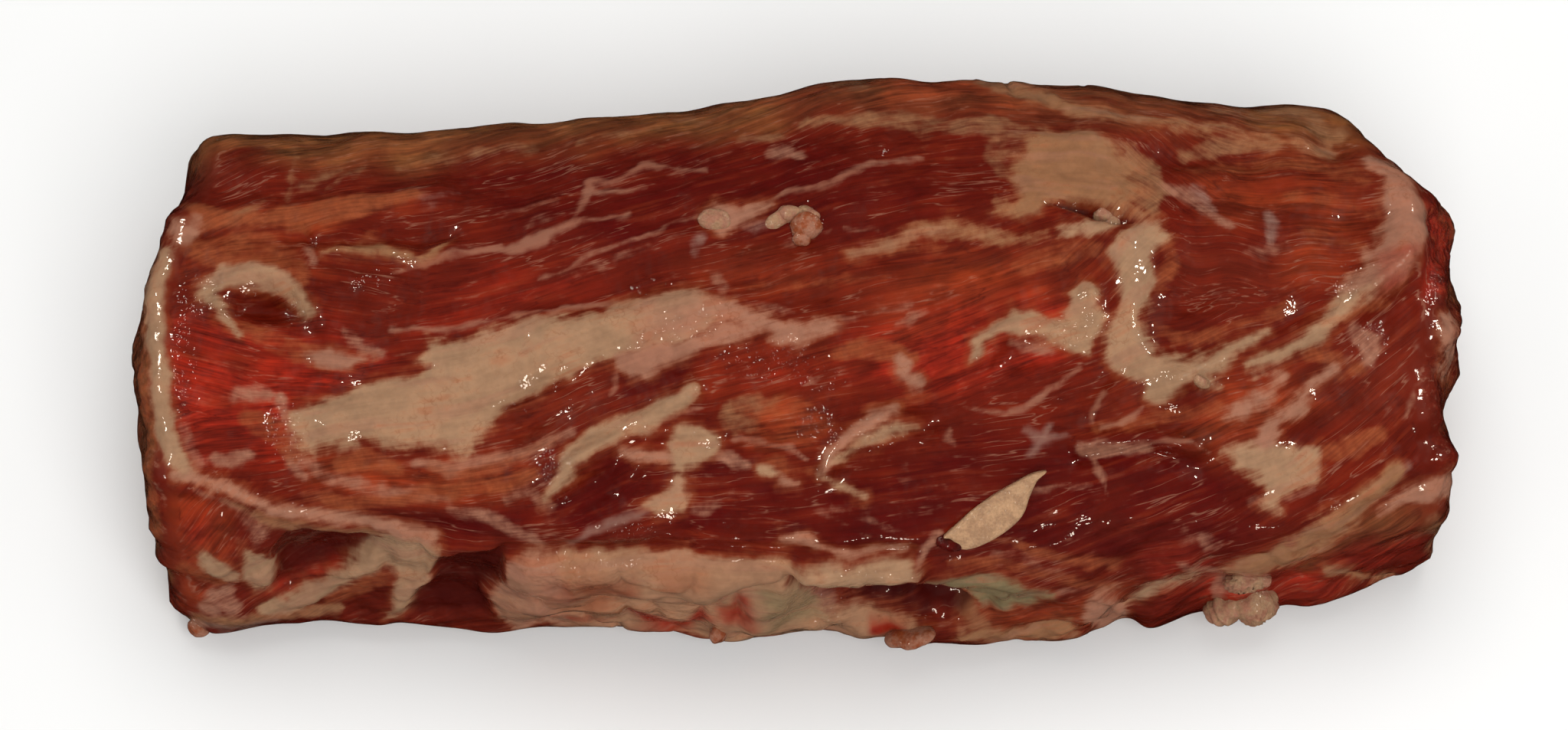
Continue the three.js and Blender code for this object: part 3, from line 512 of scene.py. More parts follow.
# The tones of the muscle, in the order in which they lie over each other: each is a tone, how soft its edge
# is in pixels, how much it covers, and an outline or a line.
ZONES = [
    ("shade", 40, 0.85, [
        (160, 80), (1900, 40), (1900, 150), (1500, 165), (1330, 140), (1100, 130), (880, 170), (600, 200),
        (380, 205), (200, 230),
    ]),
    ("olive", 30, 0.45, [
        (240, 160), (640, 140), (1010, 110), (1020, 170), (860, 190), (620, 205), (380, 215), (240, 220),
    ]),
    ("orange", 14, 0.6, [
        (1140, 104), (1200, 100), (1270, 106), (1345, 112), (1335, 138), (1262, 134), (1145, 132),
    ]),
    ("olive", 24, 0.6, [(1640, 130), (1790, 140), (1800, 190), (1700, 200), (1640, 180)]),
    ("muscle", 20, 0.9, [(273, 200), (340, 190), (377, 215), (370, 262), (300, 270), (262, 250)]),
    ("orange", 8, 0.9, [
        (250, 285), (297, 283), (353, 285), (396, 278), (448, 268), (501, 259), (545, 256), (560, 258),
        (518, 271), (483, 280), (452, 291), (396, 298), (325, 301), (266, 305),
    ]),
    ("orange", 24, 0.5, [(245, 310), (380, 310), (420, 350), (330, 350), (240, 370)]),
    ("bright", 30, 0.9, [
        (225, 430), (310, 430), (430, 430), (500, 470), (390, 540), (370, 600), (235, 600), (222, 520),
    ]),
    ("orange", 20, 0.7, [
        (389, 590), (450, 590), (549, 595), (600, 600), (690, 590), (700, 640), (640, 655), (500, 650),
        (400, 640),
    ]),
    ("bright", 24, 0.3, [(520, 440), (560, 380), (700, 350), (800, 370), (720, 405), (600, 430)]),
    ("deep", 34, 0.7, [
        (590, 215), (760, 190), (1000, 190), (1280, 200), (1310, 260), (1150, 300), (860, 330), (660, 310),
    ]),
    ("orange", 30, 0.35, [
        (880, 340), (1010, 330), (1120, 345), (1260, 340), (1330, 360), (1240, 400), (1060, 400),
        (930, 380),
    ]),
    ("maroon", 12, 0.95, [
        (607, 588), (634, 556), (659, 534), (695, 515), (726, 497), (757, 485), (790, 470), (804, 475),
        (806, 505), (780, 540), (748, 556), (703, 566), (678, 580), (650, 588),
    ]),
    ("deep", 12, 0.95, [
        (812, 500), (845, 485), (875, 470), (903, 455), (927, 455), (910, 482), (896, 503), (861, 517),
        (826, 527), (795, 545),
    ]),
    ("deep", 10, 1.0, [
        (731, 654), (769, 619), (815, 594), (847, 600), (878, 608), (875, 622), (861, 643), (840, 657),
        (819, 671), (766, 696), (720, 678),
    ]),
    ("orange", 18, 0.12, [
        (896, 450), (960, 432), (1060, 440), (1176, 440), (1180, 480), (1120, 520), (1060, 545), (960, 545),
        (905, 510),
    ]),
    ("bright", 22, 0.2, [(905, 455), (1000, 450), (1080, 470), (1050, 520), (940, 520)]),
    ("orange", 10, 0.75, [
        (937, 545), (960, 523), (1020, 520), (1070, 540), (1085, 560), (1060, 580), (990, 578), (945, 565),
    ]),
    ("deep", 22, 0.9, [
        (880, 610), (960, 590), (1060, 640), (1180, 590), (1330, 560), (1400, 600), (1360, 690),
        (1240, 720), (1000, 700), (880, 700),
    ]),
    ("deep", 22, 0.9, [
        (1390, 590), (1470, 580), (1560, 585), (1640, 640), (1650, 690), (1560, 720), (1400, 730),
        (1320, 710),
    ]),
    ("bright", 26, 0.7, [
        (1100, 450), (1200, 400), (1290, 380), (1420, 400), (1420, 460), (1300, 500), (1180, 510),
        (1100, 490),
    ]),
    ("orange", 26, 0.4, [
        (1130, 400), (1260, 330), (1420, 320), (1450, 360), (1400, 400), (1280, 400), (1170, 470),
    ]),
    ("maroon", 16, 0.9, [(1430, 500), (1494, 497), (1500, 522), (1480, 540), (1431, 560), (1415, 530)]),
    ("maroon", 24, 0.8, [(1545, 330), (1610, 320), (1672, 340), (1670, 390), (1600, 404), (1552, 385)]),
    ("orange", 30, 0.5, [
        (1560, 215), (1700, 200), (1790, 230), (1790, 320), (1740, 370), (1680, 380), (1680, 300),
        (1570, 290),
    ]),
    ("maroon", 24, 0.9, [
        (1700, 470), (1780, 440), (1880, 400), (1890, 480), (1860, 560), (1760, 570), (1700, 540),
    ]),
    ("orange", 26, 0.7, [(1540, 560), (1600, 500), (1680, 480), (1720, 520), (1660, 570), (1590, 600)]),
    ("bright", 30, 0.6, [
        (1500, 720), (1640, 730), (1760, 700), (1880, 660), (1880, 720), (1760, 760), (1640, 790),
        (1520, 800),
    ]),
    ("tan", 22, 0.8, [
        (1640, 730), (1720, 700), (1800, 660), (1890, 655), (1880, 690), (1780, 700), (1700, 735),
    ]),
    ("orange", 20, 0.85, [
        (1266, 812), (1330, 790), (1400, 770), (1470, 760), (1420, 790), (1400, 815), (1300, 822),
    ]),
    ("orange", 18, 0.8, [(222, 640), (300, 660), (296, 730), (268, 790), (235, 790)]),
    ("bright", 14, 0.35, [(236, 660), (280, 660), (276, 740), (244, 750)]),
    ("bright", 10, 0.8, [(345, 770), (400, 752), (452, 742), (450, 770), (400, 794), (350, 796)]),
    # The gap below the roll, painted dark red all over: painted shade under the roll.
    ("blood and shade", 8, 1.0, [
        (1036, 764), (1120, 768), (1200, 764), (1244, 788), (1200, 800), (1141, 788), (1071, 782),
    ]),
    ("deep", 14, 0.9, [(500, 668), (700, 668), (705, 706), (600, 712), (510, 690)]),
    ("bright", 14, 0.8, [(1868, 267), (1900, 270), (1892, 381), (1862, 381), (1858, 330)]),
    ("tan", 10, 0.8, [(1893, 262), (1915, 262), (1915, 400), (1895, 400)]),
    ("tan", 6, 0.9, [(170, 360), (206, 345), (204, 640), (222, 760), (200, 760), (170, 600)]),
]

# The same for fat.
FAT_ZONES = [
    ("orange fat", 18, 0.45, [(700, 742), (760, 732), (806, 752), (796, 786), (724, 792), (690, 766)]),
    ("bright", 10, 0.5, [(716, 752), (750, 748), (756, 768), (720, 774)]),
    ("orange fat", 12, 0.4, [(856, 738), (930, 740), (944, 762), (876, 768)]),
    ("cream", 12, 0.7, [(890, 772), (964, 762), (996, 784), (930, 796)]),
    ("bright", 8, 0.6, [(740, 806), (786, 800), (798, 816), (744, 824)]),
    # A crease across the slab, painted as a darker tan line: painted shade in the crease.
    ("tan", 4, 0.8, [(700, 778, 1), (772, 788, 3), (830, 785, 3), (872, 790, 1)]),
    ("orange", 14, 0.5, [(760, 738), (830, 738), (835, 768), (765, 772)]),
    ("bright", 8, 0.75, [(812, 794), (860, 800), (910, 796), (925, 812), (880, 826), (820, 814)]),
    ("bright", 8, 0.6, [(924, 785), (970, 776), (985, 800), (950, 816), (926, 806)]),
    ("bright", 8, 0.7, [(1144, 800), (1190, 806), (1186, 832), (1150, 824)]),
    ("pink", 12, 0.7, [(640, 715), (740, 715), (740, 840), (640, 840)]),
    ("grey", 12, 0.6, [(985, 772), (1060, 776), (1085, 800), (1000, 806)]),
    ("pink", 20, 0.6, [(830, 378), (945, 378), (960, 450), (830, 460)]),
    ("tan fat", 14, 0.6, [(1440, 180), (1510, 190), (1510, 290), (1440, 270)]),
    ("bright", 10, 0.5, [(1790, 330), (1850, 320), (1840, 380), (1790, 390)]),
]

# The way the grain runs: places and angles in degrees, counted anticlockwise from the photograph's x axis.
GRAIN_GUIDES = [
    (250, 240, 60), (330, 230, 20), (450, 230, 14), (600, 230, 12), (700, 240, 12), (900, 210, 10),
    (1100, 170, 8), (1300, 160, -6), (1500, 170, -10), (1700, 200, -24), (400, 310, 6), (520, 310, -24),
    (560, 290, -12), (640, 370, 14), (800, 340, 16), (950, 350, 8), (1100, 350, 6), (1250, 340, 10),
    (1200, 260, 4), (1000, 280, 14), (1250, 220, 2), (300, 480, -20), (270, 560, 10), (420, 500, -10),
    (600, 520, 22), (520, 620, 18), (700, 530, 30), (850, 500, 22), (780, 640, 38), (950, 480, 14),
    (1000, 560, 8), (960, 640, -8), (1130, 590, 16), (1250, 600, -12), (1200, 660, -6), (1100, 690, 2),
    (1200, 440, 26), (1320, 380, 30), (1330, 470, 14), (1420, 370, 60), (1480, 230, -40), (1560, 260, 50),
    (1600, 360, -28), (1700, 280, 2), (1750, 250, 0), (1680, 400, 14), (1600, 430, 24), (1560, 540, 18),
    (1700, 520, 44), (1820, 500, 48), (1860, 580, 40), (1500, 620, -2), (1560, 680, 6), (1380, 660, 24),
    (1700, 720, 22), (1820, 690, 20), (1560, 770, 10), (1340, 790, 12), (250, 700, 80), (420, 720, 14),
    (600, 690, 2), (760, 760, 4), (1000, 770, -4), (300, 780, 10), (200, 500, 88), (1890, 400, 86),
    (1560, 120, -8), (900, 140, 8), (500, 180, 6),
]

GUIDE_REACH = 35  # pixels within which a guide rules alone
GRAIN_CELL = 15.0  # millimetres over which one direction fades into the next
CUT_STRETCH = 12.0  # makes what is drawn out along the grain round on a cut end
CUT_FADE = 3.0  # rings of the mesh over which the grain fades towards a cut end
GRAIN_SHEETS = ["grain_a", "grain_b", "grain_c"]
GUIDED_FACING = (0.0, 0.35)  # the guides rule where the surface faces the eye more than this
LEAST_SQUEEZE = 0.3
SHIFT_SEED = 5
SHIFT_CELLS = 64
FARTHEST_SHIFT = 500

# Places that are wet enough to glisten, as (x, y, half width, half height).
WET = [
    (265, 385, 30, 24), (495, 368, 34, 18), (243, 470, 14, 60), (870, 375, 40, 16), (1138, 196, 20, 10),
    (900, 420, 60, 34), (1060, 550, 26, 20), (1012, 470, 70, 30), (1780, 360, 50, 26), (1875, 320, 14, 60),
    (1787, 450, 24, 26), (377, 565, 26, 50), (735, 610, 30, 40), (1064, 788, 60, 20), (1624, 794, 50, 30),
    (522, 717, 30, 14), (290, 650, 50, 16), (1454, 287, 20, 10), (1130, 560, 50, 24), (1400, 430, 50, 24),
    (1560, 490, 40, 20), (820, 690, 40, 14), (430, 725, 40, 26), (1049, 290, 30, 26), (760, 735, 70, 14),
    (880, 800, 60, 14), (1120, 742, 60, 10), (1075, 495, 30, 16),
]

# Places where fat frays along the grain, in the same way.
FRAYED = [
    (1310, 230, 45, 60), (1400, 165, 70, 18), (1480, 235, 30, 60), (1540, 430, 50, 60),
    (1240, 310, 130, 24), (560, 425, 200, 22), (1780, 340, 30, 60), (1620, 610, 40, 40),
    (560, 590, 150, 20), (420, 580, 60, 30), (1650, 520, 70, 40), (1500, 740, 120, 30),
    (1740, 690, 120, 30), (1650, 180, 120, 30), (1000, 430, 80, 30), (330, 300, 90, 14),
]

# Seams of fat on the cut ends: lines of (y, z) in millimetres, from the middle and above the table, and the
# half width of each.
END_SEAMS = [
    ([(-36, 14), (-26, 17), (-14, 13), (-4, 6), (2, 0)], 1.1),
    ([(-14, 13), (-8, 22), (0, 29), (12, 33), (24, 31), (34, 24)], 1.2),
    ([(-32, 34), (-20, 36), (-8, 41), (4, 44)], 1.6),
    ([(24, 31), (26, 40)], 0.8),
    ([(34, 24), (30, 12), (20, 3)], 0.9),
    ([(-8, 22), (-20, 27), (-34, 27)], 0.8),
]
END_RIM_FAT = 1.3  # thickness of the pale edge round a cut end
END_HALF_SIZE = 30.0  # the mean of a cut end's half width and half height
END_WANDER = 1.2

# Small pieces that stand clear of the surface, as in the solid: a material and some lumps, each with its
# centre in the view, half sizes in millimetres, turn in degrees and number of folds across the first axis.
NODULES = {
    "gristly_nodule": ("gristle", [
        ((1.3, 19.5), (2.3, 2.2, 1.8), 0, 0), ((0.5, 17.5), (1.3, 1.3, 1.4), 0, 0),
    ]),
    "curl_of_fat": ("pale_fat", [
        ((-2.9, 20.2), (2, 1.2, 1), 30, 0), ((-0.9, 21.2), (2.2, 1.2, 1.3), -2, 0),
        ((1.8, 20.9), (2, 1.1, 1.2), -35, 0),
    ]),
    "pale_bead": ("pale_fat", [((-11.8, 20.2), (2.3, 1.6, 1), 0, 0)]),
    "upper_bead": ("pale_fat", [
        ((43.4, 20.6), (1.5, 1.6, 1.1), 20, 0), ((44.9, 20), (1.4, 1.9, 1.1), 50, 0),
    ]),
    "peg_of_fat": ("pale_fat", [((58, -3), (1.7, 0.9, 1), -15, 0)]),
    "clot": ("clot", [((20.9, -25.2), (1.8, 1.2, 3.4), 40, 0)]),
    "knob": ("pale_fat", [
        ((60.9, -35.2), (3, 2.3, 2.6), -10, 2), ((65.1, -34.4), (3.6, 3.2, 3.2), 15, 5),
        ((64.4, -31.4), (3.4, 2, 1.6), 10, 4),
    ]),
    "tags": ("gristle", [
        ((15.8, -39.2), (4.2, 1.5, 2.2), -14, 0), ((-11.4, -38.8), (2, 1.2, 1.6), 8, 0),
        ((-86.2, -38), (1.7, 1.5, 1.6), 30, 0),
    ]),
}
SLIVER = {
    "outline": [
        (20.8, -25), (22.8, -22.9), (25.5, -20.5), (30.3, -17.5), (33.2, -16), (35, -15.7), (33.7, -17.1),
        (32.7, -19.3), (31.7, -21.9), (28.9, -24.5), (24.8, -26.5), (23.1, -26.5), (21.8, -25.2),
    ],
    "ridge": ((23.2, -23.9), (33.8, -16.6)),
    "thickness": 2.2,
    "lift": 2.2,
    "lean": np.radians(-8),
}
SLIVER_RINGS = [  # how far in from the outline to the ridge, and the height as a share of the thickness
    (1, -0.1), (0.5, -0.1), (0.08, -0.05), (0, 0.1), (0, 0.55), (0.06, 0.68), (0.2, 0.76), (0.5, 0.86),
    (0.8, 0.96), (1, 1),
]

# ---- How the skin is made ----

# Smooth noises, each with a size in millimetres and a seed.
NOISES = {
    "waver across": (4.0, 11),
    "waver up": (4.0, 12),
    "fine waver across": (1.3, 13),
    "fine waver up": (1.3, 14),
    "streak width": (3.0, 15),
    "zone drift across": (6.0, 21),
    "zone drift up": (6.0, 22),
    "side patches": (6.5, 31),
    "small side patches": (2.6, 32),
    "side threads": (4.2, 33),
    "small side threads": (3.0, 34),
    "side tissue": (3.4, 35),
    "border of the unseen side": (5.0, 36),
    "end seams across": (5.0, 41),
    "end seams up": (5.0, 42),
    "end rim": (3.0, 43),
    "swelling": (2.4, 52),
    "fine swelling": (1.1, 53),
    "fat swelling": (4.6, 54),
    "fat creases": (5.5, 55),
    "side tone": (5.0, 61),
    "sliver": (1.5, 81),
}
NOISE_CELLS = 48
BUNDLE_GRAIN = (14, 2.4)  # length and width of the bundles that stand up, in millimetres
BUNDLE_SEED = 51
FIRST_LUMP_SEED = 70
FIRST_ZONE_SEED = 100
TINY = 1e-9
FAR_OFF = 1000.0

# Shifts of what the photograph shows, in its pixels.
WAVER = 3.5
FINE_WAVER = 2.5
ZONE_DRIFT = 14

# Zones lie in patches: their mean cover, and how much grain and spots change it.
ZONE_COVER = 0.95
ZONE_GRAIN_SHARE = 0.55
ZONE_SPOT_SHARE = 0.35
ZONE_GRAIN = (9, 1.6)
ZONE_SPOT = 3.0

DISPLAY_GAMMA = 2.2
TONE_SOFTNESS = 3.0
PLACE_FALL = 1.5
VEIL_EDGE = (-9, 5)  # in pixels
HOLLOW_EDGE = (-0.5, 0.9)
STREAK_UNEVENNESS = 0.22

# How much the surface faces the eye, from 0 at the outline to 1, where each thing begins and is complete.
SHOWN_FACING = (-0.05, 0.3)
UNSEEN_FACING = (-0.02, 0.16)
END_FACING = (0.02, 0.12)
STEEP_FACING = (0.45, 0.8)
END_TURN = (0.5, 0.8)  # the same for how much it faces along the block

# Sides that the photograph doesn't show: long patches and lines of fat over muscle.
SIDE_STRETCH = 4
SIDE_BARE = 0.42
SIDE_THREAD_HALF = 0.16
SIDE_NOISE_DEPTH = 2.5
ABSENT = -5.0  # the depth in a layer that isn't there

# The fine detail: how far it stands up, in millimetres, and from where to where fat rises from the muscle.
RISES = {
    "fat": 0.3,
    "streak": 0.1,
    "bundles": 0.15,
    "swelling": 0.16,
    "fine swelling": 0.05,
    "fat swelling": 0.12,
    "steep fat swelling": 0.6,
    "crease": 0.7,
}
FAT_EDGE = (-0.6, 1.2)
STREAK_EDGE = (-0.3, 0.3)
FAT_FOOT = (-0.4, 0.4)
CREASE_HALF = 0.12
UNSEEN_DETAIL = 0.4  # the share of it on the sides that the photograph doesn't show
LUMP_RINGS = 22
LUMP_STEPS = 30
FOLD_HEIGHT = 0.8
SLIVER_STEPS = 8

# ---- Looks ----

# Noises of the material: waves to the millimetre along and across the grain, and detail.
GRAINED_NOISES = {
    "bundles": (0.045, 0.38, 3.0),
    "fibres": (0.07, 1.1, 3.0),
    "hairs": (0.2, 3.0, 1.0),
    "threads": (0.04, 0.5, 3.0),
    "ridges": (0.06, 0.8, 1.0),
    "long ripples": (0.4, 1.5, 1.0),
}
GRAIN_ROUGHNESS = 0.55
SPOTTED_NOISES = {  # waves to the millimetre in all directions, detail and roughness
    "mottle": (0.13, 4.0, 0.6),
    "speckle": (0.8, 4.0, 0.6),
    "blotch": (0.35, 2.0, 0.5),
    "cut fibres": (1.1, 3.0, 0.7),
    "wrinkles": (0.3, 3.0, 0.55),
    "swell": (0.45, 1.0, 0.5),
    "ripples": (1.1, 1.0, 0.5),
}
LUMP_NOISES = [(0.5, 4.0, 0.6), (3.0, 3.0, 0.6), (1.5, 1.0, 0.5)]  # mottle, speckle and ripples
NOISE_MEAN = 0.5
GAP_LEVEL = 0.46  # of the noise "threads", where dark gaps run
THREAD_LEVEL = 0.52

# Shades that noises make: from and to which value of the noise, and the darkest and the lightest shade.
MUSCLE_SHADES = {
    "bundles": (0.36, 0.64, 0.92, 1.08),
    "fibres": (0.36, 0.64, 0.90, 1.10),
    "mottle": (0.35, 0.65, 0.88, 1.12),
    "hairs": (0.36, 0.64, 0.94, 1.06),
}
VEIL_SHADES = {"hairs": (0.3, 0.7, 0.88, 1.1), "speckle": (0.3, 0.7, 0.86, 1.1)}
FAT_SHADES = {
    "mottle": (0.35, 0.65, 0.88, 1.12),
    "speckle": (0.4, 0.6, 0.96, 1.04),
    "fibres": (0.4, 0.6, 0.95, 1.05),
}
VIVID_RED = (0.09, 0.24, 0.8, 2.3)  # the same for how strongly muscle is shaded, by how red it is

# Edges are torn by these noises, each with its weight.
TEARING = {"fibres": 2.0, "bundles": 2.0, "speckle": 1.1, "blotch": 2.4, "hairs": 0.7}
LAYER_EDGES = {  # how much the tearing counts, from and to which depth the layer grows, and its cover there
    "veil": (0.34, 0.14, 0.92, 0.0, 0.86),
    "streak": (0.4, -0.35, 0.55, 0.0, 0.68),
    "silver": (0.45, -0.6, 0.7, 0.0, 0.7),
    "halo": (1.1, -1.6, 0.6, 0.0, 0.6),
    # The hollow layer is dark red painted into the hollows by their depth: painted shade.
    "hollow": (0.25, 0.3, 1.6, 0.0, 0.8),
}
FRAYED_FULLY = 0.8

# The wet film: how steep its ripples are by how wet the place is, and the height of bumps in metres.
FILM_RISE = (0.0, 0.7, 0.15, 1.1)
BUMP = 0.0005
FINE_BUMP = 0.0001
WET_FLESH = {
    "Roughness": 0.5,
    "IOR": 1.38,
    "Specular IOR Level": 0.2,
    "Coat Weight": 1.0,
    "Coat Roughness": 0.07,
    "Coat IOR": 1.4,
    "Subsurface Weight": 0.06,
    "Subsurface Radius": (1.0, 0.35, 0.2),
    "Subsurface Scale": 0.001,
}
LUMP_TONES = {
    "gristle": ("pink", "orange fat"),
    "pale_fat": ("cream", "pink"),
    "clot": ("blood and shade", "deep"),
    "cut_gristle": ("yellow", "cream"),
}

# Lights and floor, in metres and watts: each light has a name, a place, a size if it is a soft one, and a
# power. The paired glints stand on both sides.
SOFT_LIGHTS = [("soft_key", (0.15, -0.5, 0.8), 0.6, 4.2), ("top", (0.0, 0.25, 0.85), 0.6, 2.6)]
PAIRED_GLINTS = [("side_glint", (0.55, 0.0, 0.5), 1.1), ("far_glint", (0.6, 0.35, 0.4), 1.1)]
NEAR_GLINT = ("near_glint", (0.1, -0.65, 0.3), 0.5)
GLINT_SIZE = 0.075
GLINT_COLOUR = (1.0, 0.86, 0.72)
LIT = (0, 0, 0.02)
SURROUNDING_LIGHT = 0.55
FLOOR_REACH = 1.5
FLOOR_DROP = 0.0004
FLOOR_TONES = [(0.86, 0.86, 0.85), (0.9, 0.9, 0.89)]


# ---- Curves, waves and noise ----


def smoothstep(x, low, high):
    t = np.clip((x - low) / (high - low), 0, 1)
    return t * t * (3 - 2 * t)


def bell(distance):
    return np.exp(-(distance**2))


def lerp(a, b, t):
    return a + (b - a) * t


def graph(pairs, at):
    """A smooth curve through (position, value) pairs."""
    xs, ys = np.array(pairs, float).T
    at = np.clip(at, xs[0], xs[-1])
    i = np.clip(np.searchsorted(xs, at, side="left") - 1, 0, len(xs) - 2)
    before = np.maximum(np.arange(len(xs)) - 1, 0)
    after = np.minimum(np.arange(len(xs)) + 1, len(xs) - 1)
    slopes = (ys[after] - ys[before]) / (xs[after] - xs[before])
    step = xs[i + 1] - xs[i]
    t = (at - xs[i]) / step
    return (
        (2 * t**3 - 3 * t**2 + 1) * ys[i]
        + (t**3 - 2 * t**2 + t) * slopes[i] * step
        + (3 * t**2 - 2 * t**3) * ys[i + 1]
        + (t**3 - t**2) * slopes[i + 1] * step
    )


def smooth_noise(points, size, seed):
    """Values from -1 to 1 that change smoothly over a distance of about size."""
    table = np.random.default_rng(seed).uniform(-1, 1, (NOISE_CELLS, NOISE_CELLS, NOISE_CELLS))
    place = np.asarray(points, float) / size
    corner = np.floor(place).astype(int)
    part = place - corner
    part = part * part * (3 - 2 * part)
    value = 0
    for dx in (0, 1):
        for dy in (0, 1):
            for dz in (0, 1):
                share = np.prod(np.where([dx, dy, dz], part, 1 - part), axis=-1)
                x, y, z = np.moveaxis((corner + [dx, dy, dz]) % NOISE_CELLS, -1, 0)
                value = value + share * table[x, y, z]
    return value


def line_distance(places, points):
    """The distance of each place to a line of points, and how far along the line the nearest point lies."""
    best = np.full(places.shape[:-1], np.inf)
    along = np.zeros(places.shape[:-1])
    for i, (start, end) in enumerate(zip(points[:-1], points[1:])):
        start, step = np.array(start, float), np.subtract(end, start).astype(float)
        share = np.clip(((places - start) @ step) / (step @ step), 0, 1)
        gap = np.linalg.norm(places - start - share[..., None] * step, axis=-1)
        closer = gap < best
        best = np.where(closer, gap, best)
        along = np.where(closer, i + share, along)
    return best, along


def depth_inside(places, points):
    """How deep each place lies in an outline of (x, y) or a line of (x, y, half), and below zero outside."""
    if len(points[0]) == 3:
        gap, along = line_distance(places, [p[:2] for p in points])
        return np.interp(along, np.arange(len(points)), [p[2] for p in points]) - gap
    gap, _ = line_distance(places, [*points, points[0]])
    inside = np.zeros(places.shape[:-1], bool)
    x, y = places[..., 0], places[..., 1]
    for (x0, y0), (x1, y1) in zip(points, [*points[1:], points[0]]):
        if y0 == y1:
            continue
        crosses = (y0 > y) != (y1 > y)
        inside ^= crosses & (x < (x1 - x0) * (y - y0) / (y1 - y0) + x0)
    return np.where(inside, gap, -gap)


# ---- The block ----


def closed_curve(corners, steps):
    """Points round a closed centripetal curve through corners, which has the shape (sections, corners, 2)."""
    count = corners.shape[1]
    points = []
    for k in range(count):
        p0, p1, p2, p3 = (corners[:, (k + shift) % count] for shift in (-1, 0, 1, 2))
        steps_between = (p1 - p0, p2 - p1, p3 - p2)
        d0, d1, d2 = (np.linalg.norm(step, axis=-1, keepdims=True) ** 0.5 for step in steps_between)
        leaving = ((p1 - p0) / d0 - (p2 - p0) / (d0 + d1) + (p2 - p1) / d1) * d1
        arriving = ((p2 - p1) / d1 - (p3 - p1) / (d1 + d2) + (p3 - p2) / d2) * d1
        for t in np.arange(steps[k]) / steps[k]:
            points.append(
                (2 * t**3 - 3 * t**2 + 1) * p1 + (t**3 - 2 * t**2 + t) * leaving
                + (3 * t**2 - 2 * t**3) * p2 + (t**3 - t**2) * arriving
            )
    return np.stack(points, axis=1)


def sections(stations):
    """The sections across the block at some stations, as (stations, points, 2) with y and z.

    Their corners go from the middle of the base round by the near side, the crest and the far side."""
    near, far = graph(NEAR_SIDE, stations), graph(FAR_SIDE, stations)
    ridge, ridge_height = graph(RIDGE, stations), graph(RIDGE_HEIGHT, stations)
    top, shoulder = graph(CREST, stations), graph(SHOULDER_HEIGHT, stations)
    middle, zero = (near + far) / 2, 0 * near
    corners = [
        (middle, zero),
        (near + 13, zero),
        (near + 5, zero + 0.4),
        (near + 0.6, zero + 5),
        (lerp(near, ridge, 0.3), ridge_height / 2),
        (ridge, ridge_height),
        (lerp(ridge, middle, 0.45), lerp(ridge_height, top, 0.72)),
        (middle + 3, top),
        (lerp(middle, far, 0.6), lerp(top, shoulder, 0.45)),
        (far - 5, shoulder - 1),
        (far, shoulder / 2 + 3),
        (far - 2, zero + 5),
        (far - 7, zero + 0.3),
        (far - 15, zero),
    ]
    return closed_curve(np.stack([np.stack(c, axis=-1) for c in corners], axis=1), SECTION_STEPS)


def ring_plan():
    """For each ring its share of the length, depth from the end, inset of the outline and scale."""
    turns = (np.pi / 2) * (1 - (np.arange(ROUNDING_STEPS) + 0.5) / ROUNDING_STEPS)
    edge = [(0, END_ROUNDING * (1 - np.sin(a)), END_ROUNDING * (1 - np.cos(a)), 1) for a in turns]
    cap = [(0, 0, END_ROUNDING, (i + 1) / (CAP_RINGS + 1)) for i in range(CAP_RINGS)]
    start = cap + edge
    middle = [(share, END_ROUNDING, 0, 1) for share in np.linspace(0, 1, STATIONS + 1)]
    end = [(1, *rest) for _, *rest in reversed(start)]
    return np.array(start + middle + end)


def along_block(share, depth, y, z):
    leaning = smoothstep(CREST_HEIGHT - z, 0, CREST_HEIGHT - LEAN_HEIGHT)
    left = graph(LEFT_RIM, y) - leaning * graph(LEFT_LEAN, y)
    right = graph(RIGHT_RIM, y) + leaning * graph(RIGHT_LEAN, y)
    return lerp(left + depth, right - depth, share)


def plain_block():
    """The rings of the block before any relief, as (rings, points, 3)."""
    share, depth, inset, scale = (column[:, None] for column in ring_plan().T)
    outline = sections(lerp(-HALF_LENGTH, HALF_LENGTH, share[:, 0]))
    low, high = outline.min(axis=1, keepdims=True), outline.max(axis=1, keepdims=True)
    centre, half = (low + high) / 2, (high - low) / 2
    shrunk = centre + (outline - centre) * scale[..., None] * (1 - inset[..., None] / half)
    y, z = shrunk[..., 0], np.maximum(0, shrunk[..., 1])
    return np.stack([along_block(share, depth, y, z), y, z], axis=-1)


def grid_normals(points):
    """Outward normals of rings of points."""
    around = np.roll(points, -1, axis=1) - np.roll(points, 1, axis=1)
    along = np.gradient(points, axis=0)
    normals = np.cross(along, around)
    return normals / np.maximum(np.linalg.norm(normals, axis=-1, keepdims=True), TINY)


def seen(points):
    """Where points of the block appear to the eye, in millimetres across and up."""
    away = points - LOOK_AT
    nearness = LOOK_DISTANCE / (LOOK_DISTANCE - away @ TOWARDS_EYE)
    return np.stack([away[..., 0] * nearness, (away @ UP_THE_VIEW) * nearness], axis=-1)


def to_pixels(view):
    return np.stack([
        PHOTO_MIDDLE[0] + PIXELS_PER_MM * view[..., 0],
        PHOTO_MIDDLE[1] - PIXELS_PER_MM * view[..., 1],
    ], axis=-1)


def relief(view):
    rise = np.zeros(view.shape[:-1])
    for line, half, height in BANDS:
        rise += height * bell(line_distance(view, line)[0] / half)
    for at, long, wide, turn, height in MOUNDS:
        c, s = np.cos(np.radians(turn)), np.sin(np.radians(turn))
        offset = view - np.array(at, float)
        u, v = c * offset[..., 0] + s * offset[..., 1], -s * offset[..., 0] + c * offset[..., 1]
        rise += height * bell(np.hypot(u / long, v / wide))
    return rise


